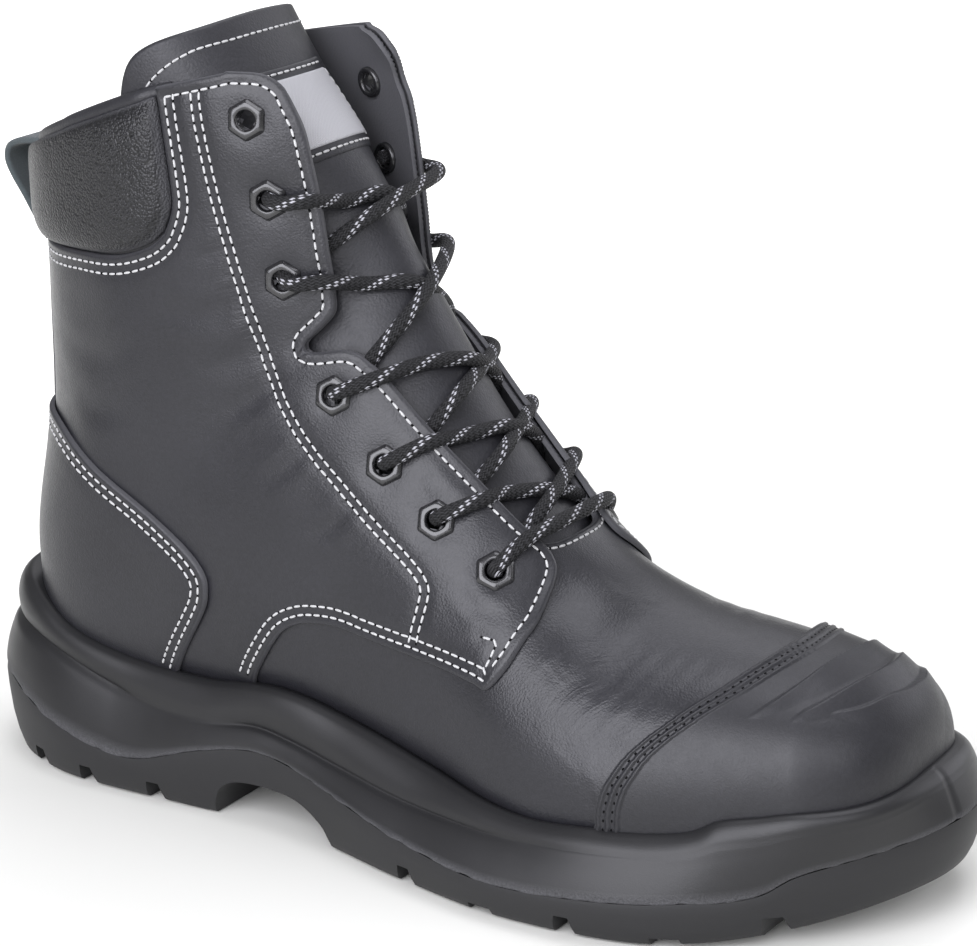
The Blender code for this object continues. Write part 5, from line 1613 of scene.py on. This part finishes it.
suede = Finish("loop_suede", specular_ior_level=0.2, sheen_weight=0.15)
nap = suede.noise(1500, 4, 0.7)
suede.set(base_color=suede.mix(nap, (0.04, 0.048, 0.05, 1), (0.085, 0.1, 0.104, 1)), roughness=0.95)
suede.bump(nap, 0.25)
loop = face_out(sheet("suede_loop", strap(1), strap(-1)))
keep(loop, suede.material, "loop_suede", "pull_loop")

# %% [markdown]
# ## Eyelets
# Hexagon eyelets, pressed from thin metal and lacquered black, with a bevelled edge and a rolled rim
# round the hole. A six-sided cylinder would have needle-sharp corners. So each eyelet is a loft of
# rings whose radius is that of a hexagon with blunted corners outside and of a circle at the hole.

# %% Eyelets
EYELET_FLATS, EYELET_HOLE, WASHER = 10.5, 5.6, 9.2
EYELET_SUNK, EYELET_BLUNT = 0.9, 1.12  # depth in its dimple, and where its corners stop
SEGMENTS, PRESSED = 72, 50
FRONT = ((1.0, 0.0), (1.0, .4), (.97, .6), (.72, 1.45), (.66, 1.6), (.2, 1.6), (.1, 1.5), (.02, 1.1), (0, .5))
BACK = ((0, -3.6), (.1, -4.2), (.4, -4.6), (.75, -4.5), (.97, -4.0), (1.0, -3.4))
# In both: share of the way from the hole to the edge, and height over the facing.


def eyelet_mesh(place):
    """Rings of an eyelet: a hexagon on the facing, a barrel and a round washer inside."""
    normal = skin.normal(place[None])[0]
    spot = skin.at(place[None], LEVEL_1_TOP - EYELET_SUNK)[0]
    side = unit(np.cross((0, 0, 1.0), normal))
    upright = np.cross(normal, side)
    turn = np.arange(SEGMENTS) * 2 * np.pi / SEGMENTS
    corner = (turn + np.pi / 6) % (np.pi / 3) - np.pi / 6
    hexagon = np.minimum(EYELET_FLATS / 2 / np.cos(corner), EYELET_FLATS / 2 * EYELET_BLUNT)
    rings = []
    for profile, edge in ((FRONT, hexagon), (BACK, np.full(SEGMENTS, WASHER / 2))):
        for share, height in profile:
            radius = EYELET_HOLE / 2 + (edge - EYELET_HOLE / 2) * share
            around = np.cos(turn)[:, None] * side + np.sin(turn)[:, None] * upright
            rings.append(spot + normal * height + radius[:, None] * around)
    return rings


metal = Finish("eyelet_metal", specular_ior_level=0.6, coat_weight=0.3)
wear = metal.noise(300, 3)
metal.set(base_color=metal.mix(wear, grey(0.012), grey(0.02)), roughness=0.24 + (wear - 0.5) * 0.1)
for side, name in ((LATERAL, "lateral"), (MEDIAL, "medial")):
    for number, place in enumerate(eyelet_places[side], start=1):
        ring = ring_loft(f"hex_eyelet_{name}_{number}", eyelet_mesh(place), PRESSED)
        keep(ring, metal.material, "eyelet_metal", f"eyelet_{name}_{number}")

# %% [markdown]
# ## Lace
# One round braided lace runs through all the eyelets but the top pair. From each eyelet it comes out,
# bends over the edge of the facing, crosses the tongue and dives under the other facing. A rope could
# be simulated, but it would not come to lie as this one does. So its way is a list of given places,
# two strands to each pair of eyelets, joined into one smooth line.

# %% Way of the lace
LACE_RADIUS = 2.1
FIRST_LACED = 1
PULL = 0.0026  # share of a section: about 0.7 mm
UNDER = -WALL - LACE_RADIUS - 0.3
ON_FACING = LEVEL_1_TOP + LACE_RADIUS
PRESSED_IN = 0.4  # how deep a strand sinks into the tongue where it dives under a facing
Run = namedtuple("Run", "edge ridge far over middle near")
RUNS = (  # stations and shares of the two strands between one pair of eyelets and the next
    Run((10.02, .400), (9.67, .462), (9.37, .500), (9.52, .578), (9.07, .490), (9.02, .442)),
    Run((8.37, .410), (7.77, .454), (7.10, .485), (7.92, .572), (6.85, .483), (6.67, .423)),
    Run((6.32, .404), (5.92, .456), (5.57, .502), (6.02, .598), (5.35, .475), (5.32, .423)),
    Run((5.17, .406), (4.98, .440), (4.67, .502), (5.12, .602), (4.50, .475), (4.47, .433)),
    Run((4.27, .410), (4.15, .445), (3.87, .498), (4.27, .596), (3.78, .485), (3.70, .430)),
)
BAR = ((3.60, .42), (3.47, .46), (3.42, .50), (3.46, .54), (3.58, .58))


def at(place, offset, surface=skin):
    """The point of one place."""
    return surface.at(np.array([place], float), offset)[0]


def through(side, i):
    """Up through an eyelet, from the inside to just outside, on the side of the hole that it pulls to."""
    place = eyelet_places[side][i] + (0, side * PULL)
    return [at(place, UNDER), at(place, 0.0), at(place, LEVEL_1_TOP + 0.6)]


def near_strand(i):
    """From an outer eyelet over its facing and the tongue, then under the inner facing."""
    run, eye = RUNS[i - FIRST_LACED], eyelet_places[LATERAL][i]
    leave = eye + (np.array(run.edge) - eye) * 0.35
    dive = (run.far[0] * 0.5 + eyelet_places[MEDIAL][i + 1][0] * 0.5, 0.57)
    return [*through(LATERAL, i), at(leave, ON_FACING + 0.5), at(run.edge, ON_FACING - 0.3),
            at(run.ridge, 0.0, tongue_skin), at(run.far, 0.0, tongue_skin),
            at(dive, -PRESSED_IN, tongue_skin)]


def far_strand(i):
    """From an inner eyelet over its facing, across the other strand and under the outer facing."""
    run, eye = RUNS[i - FIRST_LACED], eyelet_places[MEDIAL][i] + (0, 1)
    leave = eye + (np.array(run.over) - eye) * 0.4
    dive = (run.near[0] * 0.6 + eyelet_places[LATERAL][i + 1][0] * 0.4, 0.405)
    return [*through(MEDIAL, i), at(leave, ON_FACING + 0.5), at(run.over, ON_FACING - 0.2),
            at(run.middle, 1.6, tongue_skin), at(run.near, 0.0, tongue_skin),
            at(dive, -PRESSED_IN, tongue_skin)]


def lace_points():
    """The way of the whole lace, from one hidden end to the other."""
    last = len(EYELETS) - 1
    halves = []
    for first in (LATERAL, MEDIAL):
        side, points = first, []
        for i in range(FIRST_LACED, last):
            points += near_strand(i) if side == LATERAL else far_strand(i)
            side = -side
        halves.append((points, through(side, last)))
    (a, a_end), (b, b_end) = halves
    bar = [at(place, ON_FACING - 0.2) for place in BAR]
    if side == LATERAL:
        bar = bar[::-1]
    return np.array([*a, *a_end, *bar, *b_end[::-1], *b[::-1]])


LACE_STEP = 0.5
lace_way = even(curve(lace_points(), 16), LACE_STEP)
lace_run = lengths(lace_way)
print("lace length", round(lace_run[-1]), "mm")

# %% [markdown]
# ## Braid
# The lace is braided from threads that wind both ways round it and pass over and under each other, most
# of them black and a pair of them pale. Modelled threads would cost more faces than the whole boot. Each
# point of the tube knows its turn and its length, so two sets of cosine waves across each other draw
# the threads, and the higher one shows.

# %% Lace
CARRIERS, BRAID_PITCH, BRAID_DEPTH = 7, 27.0, 0.35
PAIR = math.pi / CARRIERS  # turn, in radians, between two threads of one way
LACE_SIDES = 24
braid = Finish("lace_braid", specular_ior_level=0.3)
turn = braid.attribute("round_y").math("ARCTAN2", braid.attribute("round_x"))
wind = braid.attribute("run") * (2 * math.pi / BRAID_PITCH)
one, two = ((turn + wind * way) for way in (1, -1))
first, second = ((way * CARRIERS).math("COSINE", 0.0) for way in (one, two))
over = first * second > 0.0
relief = over * first.math("ABSOLUTE", 0.0) + (1 - over) * second.math("ABSOLUTE", 0.0)
pale = over * (((one - PAIR / 2) * 2).math("COSINE", 0.0) > math.cos(2 * PAIR)) * relief
# The braid is painted darker where its threads sink between each other, and its pale threads fade into the
# same painted shade.
braid.set(base_color=braid.mix(pale, braid.mix(relief, grey(0.003), grey(0.02)), grey(0.42)), roughness=0.7)
braid.bump(relief, BRAID_DEPTH)
lace = tube("braided_lace", lace_way, LACE_RADIUS, LACE_SIDES)
round_about = np.arange(LACE_SIDES) * 2 * np.pi / LACE_SIDES
for label, values in (("run", np.repeat(lace_run, LACE_SIDES)),
                      ("round_x", np.tile(np.cos(round_about), len(lace_run))),
                      ("round_y", np.tile(np.sin(round_about), len(lace_run)))):
    tag(lace, label, np.concatenate([values, np.zeros(2)]))
keep(lace, braid.material, "lace_braid", "lace_bar", *[f"lace_cross_{i}" for i in range(1, 6)])

# %% [markdown]
# ## Insole
# A cloth-covered insole lies deep in the boot and hardly shows. It could be made again like the rest,
# but its plain shape is right as it is. So the solid stays and gets a finish of fine threads.

# %% Insole
cloth = Finish("insole_cloth", specular_ior_level=0.2)
threads = cloth.noise(1200, 3)
cloth.set(base_color=cloth.mix(threads, grey(0.03), grey(0.06)), roughness=0.95)
cloth.bump(threads, 0.15)
insole = frame["nodes"]["insole"]
insole.data.materials.clear()
insole.data.materials.append(cloth.material)
print(insole.name, len(insole.data.polygons), "faces, kept as it is")

# %% [markdown]
# ## Stitches
# White thread with a needle hole at each end of a stitch, so that a row reads as white dashes with
# dark gaps. An Array along a curve could repeat one stitch, but would not follow the dents in the
# leather. So each stitch is a small capsule in one joined mesh, and the holes are another: flat
# capsules painted near black, as painted shade where the thread goes into the leather.

# %% Capsules
STITCH = (1.15, 0.37, 0.34)  # half length, half width and half height of a stitch
# sizes of the flat dark capsules that stand for the shade inside needle holes, in the leather and in the cap
HOLE, CAP_HOLE = (0.5, 0.36, 0.10), (0.42, 0.3, 0.10)
PILL_SHARP = 70


def pill(rings=5, sides=8):
    """A capsule of unit size, lengthwise on x."""
    rows = []
    for k in range(rings):
        angle = math.pi * (k + 0.5) / rings
        wide = math.sin(angle) ** 0.5
        rows += [(-math.cos(angle), wide * math.cos(t), wide * math.sin(t))
                 for t in np.arange(sides) * 2 * math.pi / sides]
    faces = []
    for a in range(0, (rings - 1) * sides, sides):
        faces += ring_faces(a, a + sides, sides)
    faces += [tuple(range(sides))[::-1], tuple(range((rings - 1) * sides, rings * sides))]
    return np.array(rows), faces


PILL, PILL_FACES = pill()


def scatter(name, spots, size):
    """A capsule at each spot, which is a point, a forward direction and a normal."""
    points, faces = [], []
    for point, forward, normal in spots:
        across = np.cross(normal, forward)
        axes = np.stack([forward * size[0], across * size[1], normal * size[2]])
        faces += [tuple(k + len(points) * len(PILL) for k in face) for face in PILL_FACES]
        points.append(point + PILL @ axes)
    return add_mesh(name, np.concatenate(points), faces, PILL_SHARP)


print("faces of one stitch", len(PILL_FACES))

# %% Stitches
PITCH, CAP_PITCH = 2.9, 2.6  # from one stitch to the next, and between the holes in the toe cap


def sew(piece, row, surface=skin, pitch=PITCH, reach=8.0):
    """Spots for stitches and needle holes along a row, looked up on the piece that carries it."""
    tree = BVHTree.FromObject(piece, bpy.context.evaluated_depsgraph_get())
    run = lengths(surface.at(row))
    places = at_lengths(row, run, np.arange(pitch / 2, run[-1], pitch / 2))
    spots = []
    for place, point, normal in zip(places, surface.at(places), surface.normal(places)):
        hit = tree.ray_cast(Vector(to_frame(point + normal * reach)), Vector(-normal))
        spots.append(None if hit[0] is None else (np.array(hit[0]) / MM + MIDDLE, np.array(hit[1])))
    made = []
    for i in range(len(spots)):
        near = [spots[k] for k in (i - 1, i, i + 1) if 0 <= k < len(spots)]
        if all(spot is not None for spot in near):
            point, normal = spots[i]
            forward = near[-1][0] - near[0][0]
            forward = unit(forward - normal * (forward @ normal))
            made.append((i % 2, (point, forward, normal)))
    return made


bpy.context.view_layer.update()
white, holes = [], []
for piece, rows in sewn.items():
    surface = tongue_skin if piece in (tongue, label_backing) else skin
    for row in rows:
        for is_hole, spot in sew(piece, row, surface):
            (holes if is_hole else white).append(spot)
cap_hole_shades = [spot for row in cap_rows for is_hole, spot in sew(cap, row, pitch=CAP_PITCH) if is_hole]
thread = Finish("white_thread", specular_ior_level=0.3)
twist = thread.noise(2500, 2)
thread.set(base_color=thread.mix(twist, grey(0.32, 0.0), grey(0.62, 0.0)), roughness=0.7)
thread.bump(twist, 0.08)
# Needle holes are flat capsules painted near black: painted shade where a hole would be.
dark = Finish("needle_hole_shade", specular_ior_level=0.1)
dark.set(base_color=dark.mix(dark.noise(800), grey(0.002), grey(0.005)), roughness=0.95)
keep(scatter("white_stitches", white, STITCH), thread.material, None)
keep(scatter("needle_holes", holes, HOLE), dark.material, None)
keep(scatter("cap_hole_shades", cap_hole_shades, CAP_HOLE), dark.material, None)
print("stitches", len(white), "holes", len(holes) + len(cap_hole_shades))

# %% [markdown]
# ## Floor
# In a product photo the boot stands on white paper that is lit so brightly behind it that no horizon
# shows. A curved sweep with lamps of its own would do it. A flat floor that begins to glow a little
# way behind the boot gives the same white, and the shadow under the sole stays.

# %% Floor
FLOOR_SIZE, FLOOR_GAP = 16, 0.0005  # metres; it lies just below the tread
BEHIND = (-0.53, 0.85, 0)  # away from the camera
GLOW_FROM, GLOW_RISE = 0.02, 1.4  # metres behind the boot's middle, and how fast the glow grows
paper = Finish("floor_paper", emission_strength=1.0)
away = paper.node("ShaderNodeVectorMath", {"operation": "DOT_PRODUCT"},
                  {0: paper.place(), 1: BEHIND}, "Value")
glow = paper.node("ShaderNodeMath", {"operation": "MULTIPLY", "use_clamp": True},
                  {0: away - GLOW_FROM, 1: GLOW_RISE})
paper.set(base_color=paper.mix(paper.noise(3), grey(0.75, 0.03), grey(0.78, 0.03)), roughness=0.9,
          emission_color=paper.mix(glow, grey(0.0, 0.0), grey(0.8, 0.0)))
bpy.ops.mesh.primitive_plane_add(size=FLOOR_SIZE, location=(0, 0, -FLOOR_GAP))
floor = bpy.context.object
floor.name = "floor"
floor.data.materials.append(paper.material)
print("floor of", FLOOR_SIZE, "m")

# %% [markdown]
# ## Light
# The photograph has one broad light from the side and hardly any shadow. A single sun would be too
# hard. So a large soft box at the side is the key, weaker ones above, in front, behind and at the far
# side lift the edges, and a dim white world fills what they miss.

# %% Light
WORLD_STRENGTH = 0.3
COOL = (0.93, 0.93, 1.0)  # the light is a little blue
AIM = Vector((0, 0, 0.1))  # what every box faces
SOFTBOXES = (  # name, place and size in metres, power in watts
    ("light_above", (0.15, 0.2, 1.6), (1.2, 1.0), 13),
    ("light_side", (0.1, -1.4, 0.8), (1.4, 1.4), 38),
    ("light_front", (1.3, -0.8, 0.9), (0.9, 0.9), 8),
    ("light_back", (-0.5, 1.2, 1.2), (1.2, 0.9), 5),
    ("light_far", (0.9, 1.6, 0.8), (1.6, 1.0), 11),
)
world = bpy.data.worlds.new("studio")
bpy.context.scene.world = world
world.use_nodes = True
world.node_tree.nodes["Background"].inputs["Color"].default_value = grey(1.0, 0.0)
world.node_tree.nodes["Background"].inputs["Strength"].default_value = WORLD_STRENGTH
for name, place, size, power in SOFTBOXES:
    lamp = bpy.data.lights.new(name, "AREA")
    lamp.shape, lamp.size, lamp.size_y, lamp.energy = "RECTANGLE", *size, power
    lamp.color = COOL
    box = bpy.data.objects.new(name, lamp)
    bpy.context.collection.objects.link(box)
    box.location = place
    box.rotation_euler = (AIM - Vector(place)).to_track_quat("-Z", "Y").to_euler()
print("soft boxes", len(SOFTBOXES))

# %% [markdown]
# ## Camera
# The camera stands before the outer side, a third of the way round to the toe and a little above. It
# could be turned with a Track To constraint, which leaves no roll. Its three directions are worked out
# from two angles and a roll instead, and its lens from how many pixels a millimetre takes up.

# %% Camera
AZIMUTH, ELEVATION, ROLL = (math.radians(a) for a in (32.05, 18.0, -0.5))
DISTANCE, TARGET = 950.0, (163.5, 0.0, 104.7)  # millimetres
FOCAL, PICTURE_WIDTH = 3.53, 977  # pixels to a millimetre at the target, and pixels
backward = Vector((math.sin(AZIMUTH) * math.cos(ELEVATION), -math.cos(AZIMUTH) * math.cos(ELEVATION),
                   math.sin(ELEVATION)))
level = Vector((math.cos(AZIMUTH), math.sin(AZIMUTH), 0))
upward = backward.cross(level)
right = math.cos(ROLL) * level + math.sin(ROLL) * upward
upright = math.cos(ROLL) * upward - math.sin(ROLL) * level
camera = bpy.data.objects.new("camera", bpy.data.cameras.new("camera"))
bpy.context.collection.objects.link(camera)
camera.data.sensor_width = 36
camera.data.lens = FOCAL * DISTANCE * camera.data.sensor_width / PICTURE_WIDTH
camera.matrix_world = Matrix((right, upright, backward)).transposed().to_4x4()
camera.location = Vector(to_frame(TARGET)) + backward * DISTANCE * MM
bpy.context.scene.camera = camera
bpy.context.scene.view_settings.view_transform = "Standard"
print("camera at", [round(c, 3) for c in camera.location], "lens", round(camera.data.lens, 1))

# %% [markdown]
